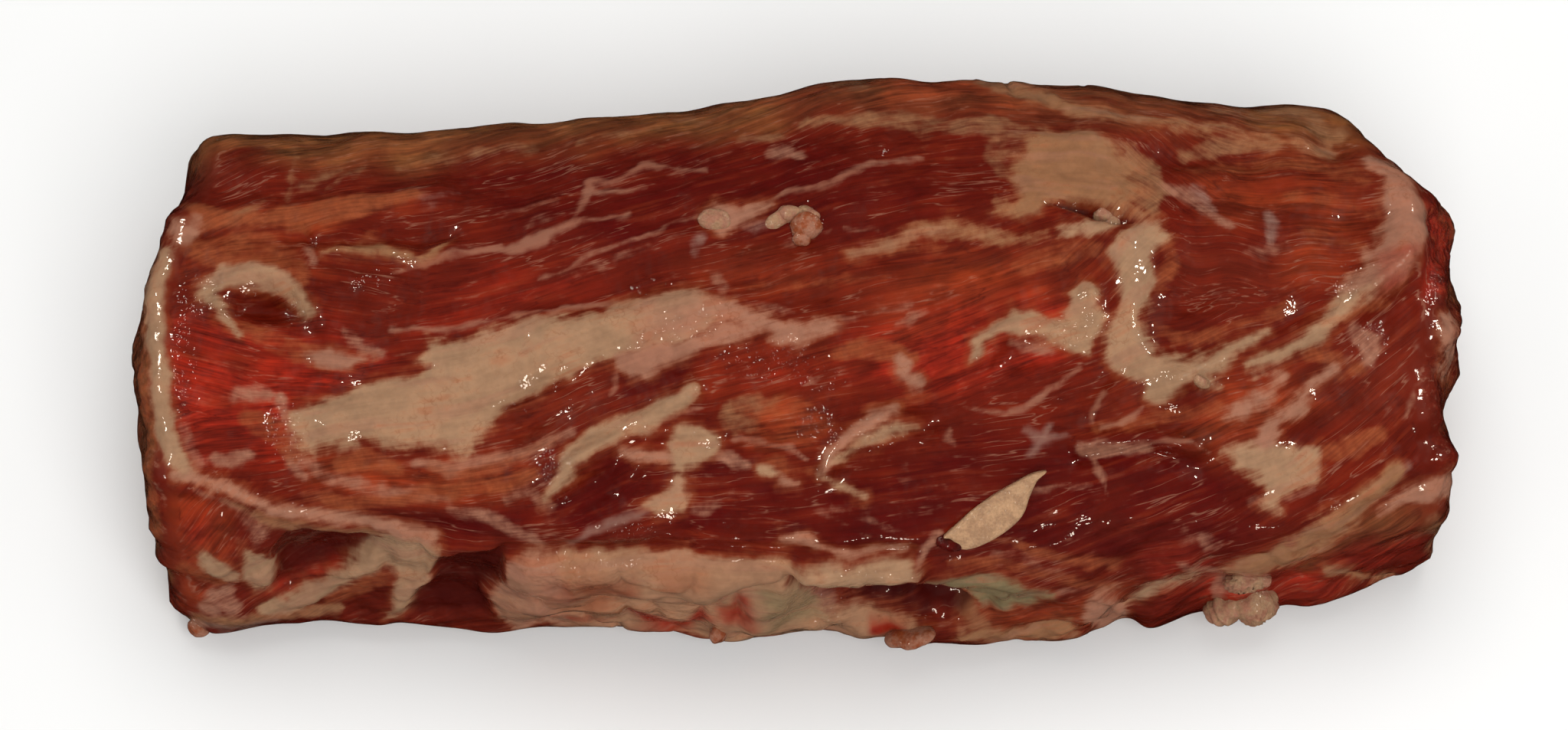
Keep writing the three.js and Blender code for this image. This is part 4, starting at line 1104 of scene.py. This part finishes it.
def unevenness(points):
    x, y, z = np.moveaxis(points, -1, 0)
    total = 0
    for i, (wave, height) in enumerate(UNEVENNESS):
        turn, phase = 2 * np.pi / wave, UNEVENNESS_SEED * (i + 1)
        along = np.sin(turn * (0.55 * x + 0.4 * y + 0.3 * z) + phase)
        across = np.sin(turn * (0.9 * y + 0.8 * z - 0.35 * x) + 2 * phase)
        total = total + height * (along * across + 0.4 * across)
    return total


# ---- What lies where ----


def named_noise(name, points):
    return smooth_noise(points, *NOISES[name])


def drift(points, *names):
    """A shift across and up the photograph, from two noises."""
    return np.stack([named_noise(name, points) for name in names], axis=-1)


def wavered(pixels, points):
    """Places in the photograph, shifted a little so that no edge is drawn with a ruler."""
    coarse = drift(points, "waver across", "waver up")
    fine = drift(points, "fine waver across", "fine waver up")
    return pixels + WAVER * coarse + FINE_WAVER * fine


def covered(pixels, places):
    """From 1 in the middle of the places given to 0 outside them."""
    share = np.zeros(pixels.shape[:-1])
    for x, y, half_x, half_y in places:
        gap = np.hypot((pixels[..., 0] - x) / half_x, (pixels[..., 1] - y) / half_y)
        share = np.maximum(share, bell(gap**PLACE_FALL))
    return share


def deepest(depths):
    return np.max(np.stack(list(depths)), axis=0)


def tone(name):
    """A tone as linear light, from the share of white that the eye sees."""
    return np.array(TONES[name]) ** DISPLAY_GAMMA


def blended(tones, depths):
    """The mean of some tones, each weighted by how deep its own shape is."""
    weights = np.exp(np.clip((np.stack(depths) - np.max(depths, axis=0)) / TONE_SOFTNESS, -30, 0))
    weights = weights / weights.sum(axis=0)
    return np.tensordot(np.moveaxis(weights, 0, -1), np.array([tone(name) for name in tones]), axes=1)


def painted(colour, zones, pixels, points, sheets):
    """A colour for each place, with zones laid over it in patches drawn out along the grain."""
    shifted = pixels + ZONE_DRIFT * drift(points, "zone drift across", "zone drift up")
    for seed, (name, softness, cover, outline) in enumerate(zones, FIRST_ZONE_SEED):
        grain = grained_noise(sheets, *ZONE_GRAIN, seed)
        spots = smooth_noise(points, ZONE_SPOT, seed)
        patches = ZONE_COVER + ZONE_GRAIN_SHARE * grain + ZONE_SPOT_SHARE * spots
        share = cover * smoothstep(depth_inside(shifted, outline), -softness, softness) * patches
        colour = lerp(colour, tone(name), np.clip(share, 0, 1)[..., None])
    return colour


def grain_turns(points, pixels, steps):
    """The way of the grain at each place, as an angle on the skin laid out flat."""
    guides = np.array(GRAIN_GUIDES, float)
    gap = np.linalg.norm(pixels[..., None, :] - guides[:, :2], axis=-1)
    weight = 1 / (gap + GUIDE_REACH) ** 3
    twice = np.radians(2 * guides[:, 2])
    angle = 0.5 * np.arctan2(weight @ np.sin(twice), weight @ np.cos(twice))
    squeeze = np.abs(np.gradient(seen(points)[..., 1], axis=1)) / np.maximum(steps, TINY)
    shown = smoothstep(grid_normals(points) @ TOWARDS_EYE, *GUIDED_FACING)
    return np.arctan2(shown * np.sin(angle) / np.maximum(squeeze, LEAST_SQUEEZE), np.cos(angle))


def grain_sheets(points, pixels, end):
    """Three overlapping sheets of grain, each with the distances along and across the grain and a weight.

    The skin is laid out flat, with the length in one direction and the way round in the other, and is divided
    into triangles. Every corner of them has its own straight grain, which fades out towards the others. The
    corners of each triangle belong to three different sheets, so that no sheet changes where it shows."""
    steps = np.linalg.norm(np.roll(points, -1, axis=1) - points, axis=-1).mean(axis=0)
    turn = grain_turns(points, pixels, steps)
    around = np.broadcast_to(np.concatenate([[0], np.cumsum(steps)[:-1]]), turn.shape)
    flat = np.stack([points[..., 0], around], axis=-1)
    u = flat[..., 0] / GRAIN_CELL - flat[..., 1] / (GRAIN_CELL * np.sqrt(3))
    v = 2 * flat[..., 1] / (GRAIN_CELL * np.sqrt(3))
    i, j = np.floor(u).astype(int), np.floor(v).astype(int)
    part_u, part_v = u - i, v - j
    upper = part_u + part_v > 1
    corners = [
        (i + upper, j + upper, np.abs(1 - part_u - part_v)),
        (i + 1, j, np.where(upper, 1 - part_v, part_u)),
        (i, j + 1, np.where(upper, 1 - part_u, part_v)),
    ]
    sheets = np.zeros((3, *turn.shape, 3))
    shifts = np.random.default_rng(SHIFT_SEED).uniform(0, FARTHEST_SHIFT, (SHIFT_CELLS, SHIFT_CELLS, 2))
    for corner_i, corner_j, share in corners:
        corner = np.stack([corner_i + 0.5 * corner_j, np.sqrt(0.75) * corner_j], axis=-1) * GRAIN_CELL
        ring = np.abs(points[:, 0, 0] - corner[..., 0, None]).argmin(axis=-1)
        step = np.abs(around[0] - corner[..., 1, None]).argmin(axis=-1)
        own = turn[ring, step]
        away = flat - corner
        shift = shifts[corner_i % SHIFT_CELLS, corner_j % SHIFT_CELLS]
        along = np.cos(own) * away[..., 0] + np.sin(own) * away[..., 1] + shift[..., 0]
        across = np.cos(own) * away[..., 1] - np.sin(own) * away[..., 0] + shift[..., 1]
        sheet = (corner_i - corner_j) % 3
        rows, columns = np.indices(sheet.shape)
        sheets[sheet, rows, columns] = np.stack([along, across, share**2], axis=-1)
    sheets[..., 2] /= np.linalg.norm(sheets[..., 2], axis=0)
    even_weight = np.full(turn.shape, np.sqrt(1 / 3))
    cut = np.stack([CUT_STRETCH * points[..., 1], points[..., 2], even_weight], axis=-1)
    sheets = np.where(end[..., None] > 0, cut, sheets)
    edges = np.flatnonzero(np.diff(end[:, 0])) + 0.5
    from_edge = np.abs(np.arange(len(end))[:, None] - edges).min(axis=1)
    sheets[..., 2] *= 1 - bell(from_edge / CUT_FADE)[:, None]
    return sheets


def grained_noise(sheets, long, wide, seed):
    """Smooth noise drawn out along the grain."""
    total = 0
    for along, across, weight in np.moveaxis(sheets, -1, 1):
        places = np.stack([along / long, across / wide, 0 * along], axis=-1)
        total = total + weight * smooth_noise(places, 1.0, seed)
    return total


# ---- Meshes ----


def link_to_scene(made):
    bpy.context.scene.collection.objects.link(made)
    return made


def make_object(name, vertices, faces):
    mesh = bpy.data.meshes.new(name)
    mesh.from_pydata(((vertices - MIDDLE) * MM).tolist(), [], faces)
    mesh.polygons.foreach_set("use_smooth", [True] * len(mesh.polygons))
    mesh.update()
    return link_to_scene(bpy.data.objects.new(name, mesh))


def add_attribute(made, name, values):
    """A vector for each vertex, from an array of the shape (rings, points, 3)."""
    layer = made.data.attributes.new(name, "FLOAT_VECTOR", "POINT")
    layer.data.foreach_set("vector", with_centres(values).astype(np.float32).ravel())


def grid_quads(rings, around):
    """Faces over a grid of closed rings."""
    i, j = np.meshgrid(np.arange(rings - 1), np.arange(around), indexing="ij")
    a, b = i * around + j, i * around + (j + 1) % around
    return np.stack([a, a + around, b + around, b], axis=-1).reshape(-1, 4)


def ring_faces(rings, around):
    """Faces over a grid of rings, with the centres of the first and last ring as the last two vertices."""
    first, last, tail = rings * around, rings * around + 1, (rings - 1) * around
    caps = []
    for k in range(around):
        following = (k + 1) % around
        caps += [[first, k, following], [last, tail + following, tail + k]]
    return grid_quads(rings, around).tolist() + caps


def with_centres(field):
    flat = field.reshape(-1, *field.shape[2:])
    return np.concatenate([flat, field[0].mean(axis=0)[None], field[-1].mean(axis=0)[None]])


def photographed(plain, pixels, shown):
    """What the photograph shows at each place: the depth in each layer, in millimetres, and the tones."""
    edges = wavered(pixels, plain)
    fat_depths = [depth_inside(edges, points) for _, points in FAT.values()]
    veil_depths = [depth_inside(edges, points) for _, _, points in VEILS]
    covers = [cover * smoothstep(depth, *VEIL_EDGE) for (_, cover, _), depth in zip(VEILS, veil_depths)]
    streak = deepest(depth_inside(edges, line) for line in STREAKS) / PIXELS_PER_MM
    hollow = deepest(
        depth * smoothstep(depth_inside(edges, outline) / PIXELS_PER_MM, *HOLLOW_EDGE)
        for depth, outline in HOLLOWS.values()
    )
    return {
        "fat": np.max(fat_depths, axis=0) / PIXELS_PER_MM,
        "streak": streak + STREAK_UNEVENNESS * named_noise("streak width", plain),
        "silver": deepest(depth_inside(edges, line) for line in SILVER) / PIXELS_PER_MM,
        "veil": np.max(covers, axis=0),
        "hollow": hollow * shown,
        "wet": covered(pixels, WET) * shown,
        "frayed": covered(pixels, FRAYED),
        "fat tone": blended([name for name, _ in FAT.values()], fat_depths),
        "veil tone": blended([name for name, _, _ in VEILS], veil_depths),
    }


def add_unseen_sides(skin, sideways, plain, unseen):
    """Long patches and lines of fat on the sides that the photograph doesn't show."""
    patches = named_noise("side patches", sideways) + 0.5 * named_noise("small side patches", sideways)
    winding = named_noise("side threads", sideways) + 0.3 * named_noise("small side threads", plain)
    tissue = np.clip(0.4 + 0.5 * named_noise("side tissue", sideways), 0, 1)
    thread = SIDE_THREAD_HALF - np.abs(winding)
    skin["fat"] = lerp(skin["fat"], SIDE_NOISE_DEPTH * (patches - SIDE_BARE), unseen)
    skin["streak"] = lerp(skin["streak"], SIDE_NOISE_DEPTH * thread - 0.2, unseen)
    skin["silver"] = lerp(skin["silver"], ABSENT, unseen)
    skin["veil"] = lerp(skin["veil"], tissue, unseen)
    skin["frayed"] = lerp(skin["frayed"], 0.5, unseen)
    skin["veil tone"] = lerp(skin["veil tone"], tone("tan"), unseen[..., None])


def add_cut_ends(skin, plain, facing, end_shown):
    """Seams of fat and a pale rim on the cut ends, where the photograph doesn't show them."""
    wander = END_WANDER * drift(plain, "end seams across", "end seams up")
    seams = deepest(half - line_distance(plain[..., 1:] + wander, line)[0] for line, half in END_SEAMS)
    scale = ring_plan()[:, 3][:, None]
    rim = END_RIM_FAT - END_HALF_SIZE * (1 - scale) + 0.6 * named_noise("end rim", plain)
    hidden_end = end_shown * (1 - smoothstep(facing, *END_FACING))
    skin["fat"] = lerp(skin["fat"], np.maximum(seams, rim), hidden_end)
    skin["streak"] = lerp(skin["streak"], ABSENT, hidden_end)


def raised(skin, plain, normals, shown, sheets):
    """The points of the skin, with the relief of the solid and finer detail."""
    fat = skin["fat"]
    bare = 1 - smoothstep(fat, *FAT_FOOT)
    steep_fat = (1 - bare) * (1 - smoothstep(normals @ TOWARDS_EYE, *STEEP_FACING))
    fat_swelling = RISES["fat swelling"] + RISES["steep fat swelling"] * steep_fat
    detail = RISES["fat"] * smoothstep(fat, *FAT_EDGE)
    detail += RISES["streak"] * smoothstep(skin["streak"], *STREAK_EDGE)
    detail += RISES["bundles"] * grained_noise(sheets, *BUNDLE_GRAIN, BUNDLE_SEED) * bare
    detail += RISES["swelling"] * named_noise("swelling", plain)
    detail += RISES["fine swelling"] * named_noise("fine swelling", plain)
    detail += fat_swelling * (1 - bare) * named_noise("fat swelling", plain)
    detail -= RISES["crease"] * steep_fat * bell(named_noise("fat creases", plain) / CREASE_HALF)
    calm = smoothstep(plain[..., 2], 0, CALM_HEIGHT)
    body = shown * relief(seen(plain)) + unevenness(plain)
    rise = calm * (body + detail * lerp(UNSEEN_DETAIL, 1, shown) - skin["hollow"])
    points = plain + rise[..., None] * normals
    points[..., 2] = np.maximum(0, points[..., 2])
    return points


def build_meat():
    """The skin of the meat as an object, with what lies where as attributes, and its points."""
    plain = plain_block()
    normals = grid_normals(plain)
    facing = normals @ TOWARDS_EYE
    shown = smoothstep(facing, *SHOWN_FACING)
    pixels = to_pixels(seen(plain))
    sideways = plain / [SIDE_STRETCH, 1, 1]
    border = facing + 0.12 * named_noise("border of the unseen side", sideways)
    unseen = 1 - smoothstep(border, *UNSEEN_FACING)
    end = np.zeros(shown.shape)
    end_rings = CAP_RINGS + ROUNDING_STEPS - 2
    end[:end_rings] = 1
    end[-end_rings:] = 1
    end_shown = end * smoothstep(np.abs(normals[..., 0]), *END_TURN)
    sheets = grain_sheets(plain, pixels, end)

    skin = photographed(plain, pixels, shown)
    add_unseen_sides(skin, sideways, plain, unseen)
    add_cut_ends(skin, plain, facing, end_shown)
    points = raised(skin, plain, normals, shown, sheets)

    muscle_tone = painted(np.ones((*shown.shape, 1)) * tone("muscle"), ZONES, pixels, plain, sheets)
    side_tone = tone("maroon") * (1 + 0.35 * named_noise("side tone", sideways)[..., None])
    fat_tone = painted(skin["fat tone"], FAT_ZONES, pixels, plain, sheets)

    made = make_object("meat", with_centres(points), ring_faces(*points.shape[:2]))
    for name, sheet in zip(GRAIN_SHEETS, sheets):
        add_attribute(made, name, sheet)
    add_attribute(made, "layers", np.stack([skin["fat"], skin["streak"], skin["silver"]], axis=-1))
    add_attribute(made, "state", np.stack([skin["hollow"], skin["wet"], skin["frayed"]], axis=-1))
    add_attribute(made, "cover", np.stack([skin["veil"], end_shown, 0 * end_shown], axis=-1))
    add_attribute(made, "muscle_tone", lerp(muscle_tone, side_tone, unseen[..., None]))
    add_attribute(made, "fat_tone", lerp(fat_tone, tone("pink"), 0.6 * unseen[..., None]))
    add_attribute(made, "veil_tone", skin["veil tone"])
    return made, points


def surface_at(points, place):
    """The point of the block that appears at a place in the view, and the way out of the surface there."""
    normals = grid_normals(points)
    turned_away = normals @ TOWARDS_EYE < 0
    gap = np.linalg.norm(seen(points) - np.array(place, float), axis=-1) + FAR_OFF * turned_away
    nearest = np.unravel_index(gap.argmin(), gap.shape)
    return points[nearest], normals[nearest]


def lump(points, place, half, turn, folds, seed):
    """The rings of a small uneven ball on the surface, with folds across it."""
    point, out = surface_at(points, place)
    sideways = np.cross([0, 1, 0], out)
    sideways = sideways / np.linalg.norm(sideways)
    upwards = np.cross(out, sideways)
    c, s = np.cos(np.radians(turn)), np.sin(np.radians(turn))
    axes = np.stack([c * sideways + s * upwards, -s * sideways + c * upwards, out])
    polar = np.linspace(0, np.pi, LUMP_RINGS + 2)[1:-1]
    turns = np.arange(LUMP_STEPS) * 2 * np.pi / LUMP_STEPS
    p, t = np.meshgrid(polar, turns, indexing="ij")
    ball = np.stack([np.sin(p) * np.cos(t), np.sin(p) * np.sin(t), np.cos(p)], axis=-1)
    placed = point + (ball * half) @ axes
    wobble = 0.30 * smooth_noise(placed, 1.6, seed) + 0.12 * smooth_noise(placed, 0.7, seed + 1)
    if folds:
        waves = np.sin(folds * np.pi * (ball[..., 0] + 0.25 * smooth_noise(placed, 2.0, seed + 1)))
        wobble = wobble + FOLD_HEIGHT * (np.abs(waves) ** 0.6 - 0.7)
    return placed + wobble[..., None] * (ball @ axes)


def build_lumps(name, points, lumps):
    vertices, faces, count = [], [], 0
    for number, (place, half, turn, folds) in enumerate(lumps):
        rings = lump(points, place, np.array(half, float), turn, folds, FIRST_LUMP_SEED + 2 * number)
        some = with_centres(rings)
        some[:, 2] = np.maximum(some[:, 2], 0)
        vertices.append(some)
        faces += [[v + count for v in side] for side in ring_faces(LUMP_RINGS, LUMP_STEPS)]
        count += len(some)
    return make_object(name, np.concatenate(vertices), faces)


def build_sliver(points):
    """The cut sliver of gristle: a plate whose upper face rises to a ridge beside its upper edge."""
    outline, ridge = np.array(SLIVER["outline"], float), np.array(SLIVER["ridge"], float)
    root, _ = surface_at(points, outline[0])
    edge = closed_curve((outline - outline[0])[None], [SLIVER_STEPS] * len(outline))[0]
    start, step = ridge[0] - outline[0], ridge[1] - ridge[0]
    share = np.clip((edge - start) @ step / (step @ step), 0, 1)
    on_ridge = start + share[:, None] * step
    rings = []
    for inward, height in SLIVER_RINGS:
        flat = lerp(edge, on_ridge, inward)
        rings.append(np.column_stack([flat, np.full(len(edge), height * SLIVER["thickness"])]))
    local = np.stack(rings)
    lean = SLIVER["lean"]
    y = local[..., 1] * np.cos(lean) + local[..., 2] * np.sin(lean)
    z = -local[..., 1] * np.sin(lean) + local[..., 2] * np.cos(lean)
    lifted = SLIVER["lift"] - SLIVER["thickness"]
    placed = root + local[..., :1] * [1, 0, 0] + y[..., None] * UP_THE_VIEW
    placed = placed + (z + lifted)[..., None] * TOWARDS_EYE
    placed = placed + 0.12 * named_noise("sliver", placed)[..., None] * TOWARDS_EYE
    faces = grid_quads(*placed.shape[:2])[:, ::-1]
    return make_object("sliver", placed.reshape(-1, 3), faces.tolist())


# ---- Materials ----


class Nodes:
    """Short words for the nodes of one material."""

    def __init__(self, name):
        self.material = bpy.data.materials.new(name)
        self.material.use_nodes = True
        self.tree = self.material.node_tree
        self.shader = self.tree.nodes["Principled BSDF"]

    def link(self, source, target):
        if isinstance(source, bpy.types.NodeSocket):
            self.tree.links.new(source, target)
        elif hasattr(target.default_value, "__len__") and len(target.default_value) == 4:
            target.default_value = (*source, 1)
        else:
            target.default_value = source

    def attribute(self, name):
        node = self.tree.nodes.new("ShaderNodeAttribute")
        node.attribute_name = name
        return node.outputs["Vector"]

    def split(self, vector):
        node = self.tree.nodes.new("ShaderNodeSeparateXYZ")
        self.link(vector, node.inputs[0])
        return node.outputs

    def math(self, operation, a, b=0.0, c=0.0):
        node = self.tree.nodes.new("ShaderNodeMath")
        node.operation = operation
        for source, target in zip((a, b, c), node.inputs):
            self.link(source, target)
        return node.outputs[0]

    def scaled(self, vector, factors):
        node = self.tree.nodes.new("ShaderNodeVectorMath")
        node.operation = "MULTIPLY"
        self.link(vector, node.inputs[0])
        self.link(factors, node.inputs[1])
        return node.outputs[0]

    def step(self, value, low, high, start=0.0, end=1.0):
        """A smooth rise from start to end as value goes from low to high."""
        node = self.tree.nodes.new("ShaderNodeMapRange")
        node.interpolation_type = "SMOOTHSTEP"
        for source, target in zip((value, low, high, start, end), node.inputs):
            self.link(source, target)
        return node.outputs[0]

    def noise(self, vector, scale, detail, roughness):
        node = self.tree.nodes.new("ShaderNodeTexNoise")
        self.link(vector, node.inputs["Vector"])
        node.inputs["Scale"].default_value = scale
        node.inputs["Detail"].default_value = detail
        node.inputs["Roughness"].default_value = roughness
        return node.outputs["Fac"]

    def mix(self, share, a, b, kind="MIX"):
        node = self.tree.nodes.new("ShaderNodeMix")
        node.data_type = "RGBA"
        node.blend_type = kind
        for source, target in zip((share, a, b), (node.inputs[0], node.inputs[6], node.inputs[7])):
            self.link(source, target)
        return node.outputs[2]

    def away_from(self, value, middle):
        """How far a value is from a middle one: small along winding lines."""
        return self.math("ABSOLUTE", self.math("SUBTRACT", value, middle))

    def grained(self, along, across, detail):
        """Noise drawn out along the grain, with so many waves to the millimetre along it and across it."""
        total = NOISE_MEAN
        for name in GRAIN_SHEETS:
            vector = self.attribute(name)
            value = self.noise(self.scaled(vector, (along, across, 0)), 1.0, detail, GRAIN_ROUGHNESS)
            from_mean = self.math("SUBTRACT", value, NOISE_MEAN)
            total = self.math("MULTIPLY_ADD", from_mean, self.split(vector)[2], total)
        return total

    def product(self, *factors):
        result = factors[0]
        for factor in factors[1:]:
            result = self.math("MULTIPLY", result, factor)
        return result

    def shaded(self, colour, shade):
        """A colour made darker or lighter."""
        node = self.tree.nodes.new("ShaderNodeCombineXYZ")
        for target in node.inputs:
            self.link(shade, target)
        return self.mix(1.0, colour, node.outputs[0], "MULTIPLY")

    def bump(self, height, distance):
        node = self.tree.nodes.new("ShaderNodeBump")
        node.inputs["Distance"].default_value = distance
        self.link(height, node.inputs["Height"])
        return node.outputs[0]

    def here(self):
        """Places on the object, in millimetres."""
        node = self.tree.nodes.new("ShaderNodeTexCoord")
        return self.scaled(node.outputs["Object"], (1 / MM, 1 / MM, 1 / MM))


def finish_shader(n):
    """Soft flesh under a clear wet film."""
    for name, value in WET_FLESH.items():
        n.shader.inputs[name].default_value = value


def skin_noises(n):
    """The noises of the skin, by name."""
    here = n.here()
    noises = {name: n.grained(*waves) for name, waves in GRAINED_NOISES.items()}
    noises.update({name: n.noise(here, *waves) for name, waves in SPOTTED_NOISES.items()})
    return noises


def shade_of(n, noises, table):
    """The product of some noises, each turned into a shade."""
    return n.product(*(n.step(noises[name], *span) for name, span in table.items()))


def muscle_colour(n, noises, end):
    """The painted tone, darker and lighter along its fibres, with pale threads and dark gaps."""
    colour = n.attribute("muscle_tone")
    vivid = n.step(n.split(colour)[0], *VIVID_RED)
    from_plain = n.math("SUBTRACT", shade_of(n, noises, MUSCLE_SHADES), 1.0)
    colour = n.shaded(colour, n.math("MULTIPLY_ADD", from_plain, vivid, 1.0))
    warm = n.product(n.step(noises["bundles"], 0.5, 0.64, 0.0, 0.26), n.step(noises["fibres"], 0.42, 0.6))
    colour = n.mix(warm, colour, tone("orange"))
    gap = n.step(n.away_from(noises["threads"], GAP_LEVEL), 0.025, 0.0, 0.0, 0.4)
    colour = n.mix(n.product(gap, n.step(noises["mottle"], 0.56, 0.44)), colour, tone("blood and shade"))
    thread = n.step(n.away_from(noises["threads"], THREAD_LEVEL), 0.018, 0.0, 0.0, 0.5)
    broken = n.product(n.step(noises["mottle"], 0.45, 0.6), n.step(noises["hairs"], 0.3, 0.55))
    colour = n.mix(n.product(thread, broken), colour, tone("pink"))
    cross_cut = n.math("MULTIPLY", n.step(noises["cut fibres"], 0.56, 0.72, 0.0, 0.30), end)
    return n.mix(cross_cut, colour, tone("pink"))


def fat_colour(n, noises):
    """The painted tone of the fat, with a blush, spots and winding wrinkles."""
    colour = n.attribute("fat_tone")
    colour = n.mix(n.step(noises["bundles"], 0.5, 0.62, 0.0, 0.35), colour, tone("pink"))
    blush = n.product(n.step(noises["mottle"], 0.48, 0.64), n.step(noises["fibres"], 0.42, 0.62))
    colour = n.mix(n.math("MULTIPLY", blush, 0.42), colour, tone("orange fat"))
    colour = n.shaded(colour, shade_of(n, noises, FAT_SHADES))
    wrinkle = n.step(n.away_from(noises["wrinkles"], NOISE_MEAN), 0.02, 0.0, 0.0, 0.3)
    return n.mix(n.product(wrinkle, n.step(noises["mottle"], 0.45, 0.6)), colour, tone("tan"))


def meat_material():
    n = Nodes("raw_meat")
    fat, streak, silver = n.split(n.attribute("layers"))
    hollow, wet, frayed = n.split(n.attribute("state"))
    cover, end, _ = n.split(n.attribute("cover"))
    noises = skin_noises(n)
    torn = 0.0
    for name, weight in TEARING.items():
        torn = n.math("MULTIPLY_ADD", n.math("SUBTRACT", noises[name], NOISE_MEAN), weight, torn)

    def showing(layer, depth):
        """How much of a layer shows at a depth in it, with an edge torn along the grain."""
        tear, *span = LAYER_EDGES[layer]
        return n.step(n.math("MULTIPLY_ADD", torn, tear, depth), *span)

    veil_tone = n.shaded(n.attribute("veil_tone"), shade_of(n, noises, VEIL_SHADES))
    streak_tone = n.mix(n.step(noises["bundles"], 0.45, 0.55), tone("streak"), tone("pink"))
    surface = n.mix(showing("veil", cover), muscle_colour(n, noises, end), veil_tone)
    surface = n.mix(showing("streak", streak), surface, streak_tone)
    surface = n.mix(showing("silver", silver), surface, tone("silver"))
    surface = n.mix(showing("halo", fat), surface, tone("orange fat"))
    fray = n.step(frayed, 0.0, FRAYED_FULLY, 0.6, 1.6)
    fat_edge = n.math("MULTIPLY_ADD", torn, fray, fat)
    fat_edge = n.math("DIVIDE", fat_edge, n.step(frayed, 0.0, FRAYED_FULLY, 0.6, 1.3))
    fat_cover = n.step(fat_edge, -1.0, 1.0, 0.0, 0.96)
    surface = n.mix(fat_cover, surface, fat_colour(n, noises))
    # Dark red painted into the hollows by their depth: painted shade in the recesses.
    surface = n.mix(showing("hollow", hollow), surface, tone("blood and shade"))
    n.link(surface, n.shader.inputs["Base Color"])

    # Gentle fibres and swellings in the flesh, under a film of juice whose steeper ripples catch the light.
    muscle_share = n.step(fat_cover, 0.0, 1.0, 0.35, 0.0)
    flesh = n.math("MULTIPLY_ADD", noises["ridges"], muscle_share, noises["swell"])
    n.link(n.bump(flesh, BUMP), n.shader.inputs["Normal"])
    ripples = n.math("MULTIPLY_ADD", noises["long ripples"], 0.6, noises["ripples"])
    film = n.math("MULTIPLY", ripples, n.step(wet, *FILM_RISE))
    n.link(n.bump(film, BUMP), n.shader.inputs["Coat Normal"])
    finish_shader(n)
    return n.material


def lump_material(name, main, second):
    n = Nodes(name)
    here = n.here()
    mottle, speckle, ripples = (n.noise(here, *waves) for waves in LUMP_NOISES)
    colour = n.mix(n.step(mottle, 0.42, 0.62), tone(main), tone(second))
    n.link(n.shaded(colour, n.step(speckle, 0.25, 0.75, 0.85, 1.12)), n.shader.inputs["Base Color"])
    n.link(n.bump(speckle, FINE_BUMP), n.shader.inputs["Normal"])
    n.link(n.bump(ripples, BUMP), n.shader.inputs["Coat Normal"])
    finish_shader(n)
    return n.material


def floor_material():
    n = Nodes("pale_floor")
    grain = n.noise(n.here(), 0.02, 2.0, 0.5)
    n.link(n.mix(grain, *FLOOR_TONES), n.shader.inputs["Base Color"])
    n.shader.inputs["Roughness"].default_value = 0.8
    return n.material


# ---- Putting it together ----


def dress(made, material):
    made.data.materials.append(material)
    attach(made, "root")
    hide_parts("lamb_rib_eye")


def add_camera():
    camera = bpy.data.cameras.new("camera")
    camera.sensor_width = SENSOR
    camera.lens = SENSOR * LOOK_DISTANCE * PIXELS_PER_MM / PHOTO_SIZE[0]
    camera.shift_x = (PHOTO_SIZE[0] / 2 - PHOTO_MIDDLE[0]) / PHOTO_SIZE[0]
    camera.shift_y = (PHOTO_MIDDLE[1] - PHOTO_SIZE[1] / 2) / PHOTO_SIZE[0]
    camera.clip_start = NEAREST_SEEN
    made = link_to_scene(bpy.data.objects.new("camera", camera))
    towards = Vector(TOWARDS_EYE)
    made.location = Vector((LOOK_AT - MIDDLE) * MM) + towards * LOOK_DISTANCE * MM
    made.rotation_euler = (-towards).to_track_quat("-Z", "Y").to_euler()
    bpy.context.scene.camera = made


def add_area_light(name, place, size, power, glint):
    """A soft light that leaves no reflection, or a small one that is only seen as a glint on what is wet."""
    light = bpy.data.lights.new(name, "AREA")
    light.shape = "DISK"
    light.size = size
    light.energy = power
    if glint:
        light.color = GLINT_COLOUR
    made = link_to_scene(bpy.data.objects.new(name, light))
    made.location = place
    made.rotation_euler = (Vector(LIT) - Vector(place)).to_track_quat("-Z", "Y").to_euler()
    made.visible_glossy = glint
    made.visible_diffuse = not glint


def add_lights():
    for name, place, size, power in SOFT_LIGHTS:
        add_area_light(name, place, size, power, False)
    for side in (-1, 1):
        for name, (x, y, z), power in PAIRED_GLINTS:
            add_area_light(name, (side * x, y, z), GLINT_SIZE, power, True)
    name, place, power = NEAR_GLINT
    add_area_light(name, place, GLINT_SIZE, power, True)
    world = bpy.data.worlds.new("studio")
    world.use_nodes = True
    world.node_tree.nodes["Background"].inputs[0].default_value = (1.0, 1.0, 1.0, 1)
    world.node_tree.nodes["Background"].inputs[1].default_value = SURROUNDING_LIGHT
    world.cycles_visibility.glossy = False
    bpy.context.scene.world = world


def add_floor():
    mesh = bpy.data.meshes.new("floor")
    corners = [(-1, -1), (1, -1), (1, 1), (-1, 1)]
    mesh.from_pydata([(FLOOR_REACH * x, FLOOR_REACH * y, 0) for x, y in corners], [], [[0, 1, 2, 3]])
    mesh.materials.append(floor_material())
    floor = link_to_scene(bpy.data.objects.new("floor", mesh))
    floor.location.z = -FLOOR_DROP
    floor.visible_glossy = False


bpy.context.scene.view_settings.view_transform = "Standard"
meat, surface_points = build_meat()
dress(meat, meat_material())
lump_materials = {name: lump_material(name, *tones) for name, tones in LUMP_TONES.items()}
for lump_name, (material_name, lumps) in NODULES.items():
    dress(build_lumps(lump_name, surface_points, lumps), lump_materials[material_name])
dress(build_sliver(surface_points), lump_materials["cut_gristle"])
add_floor()
add_camera()
add_lights()
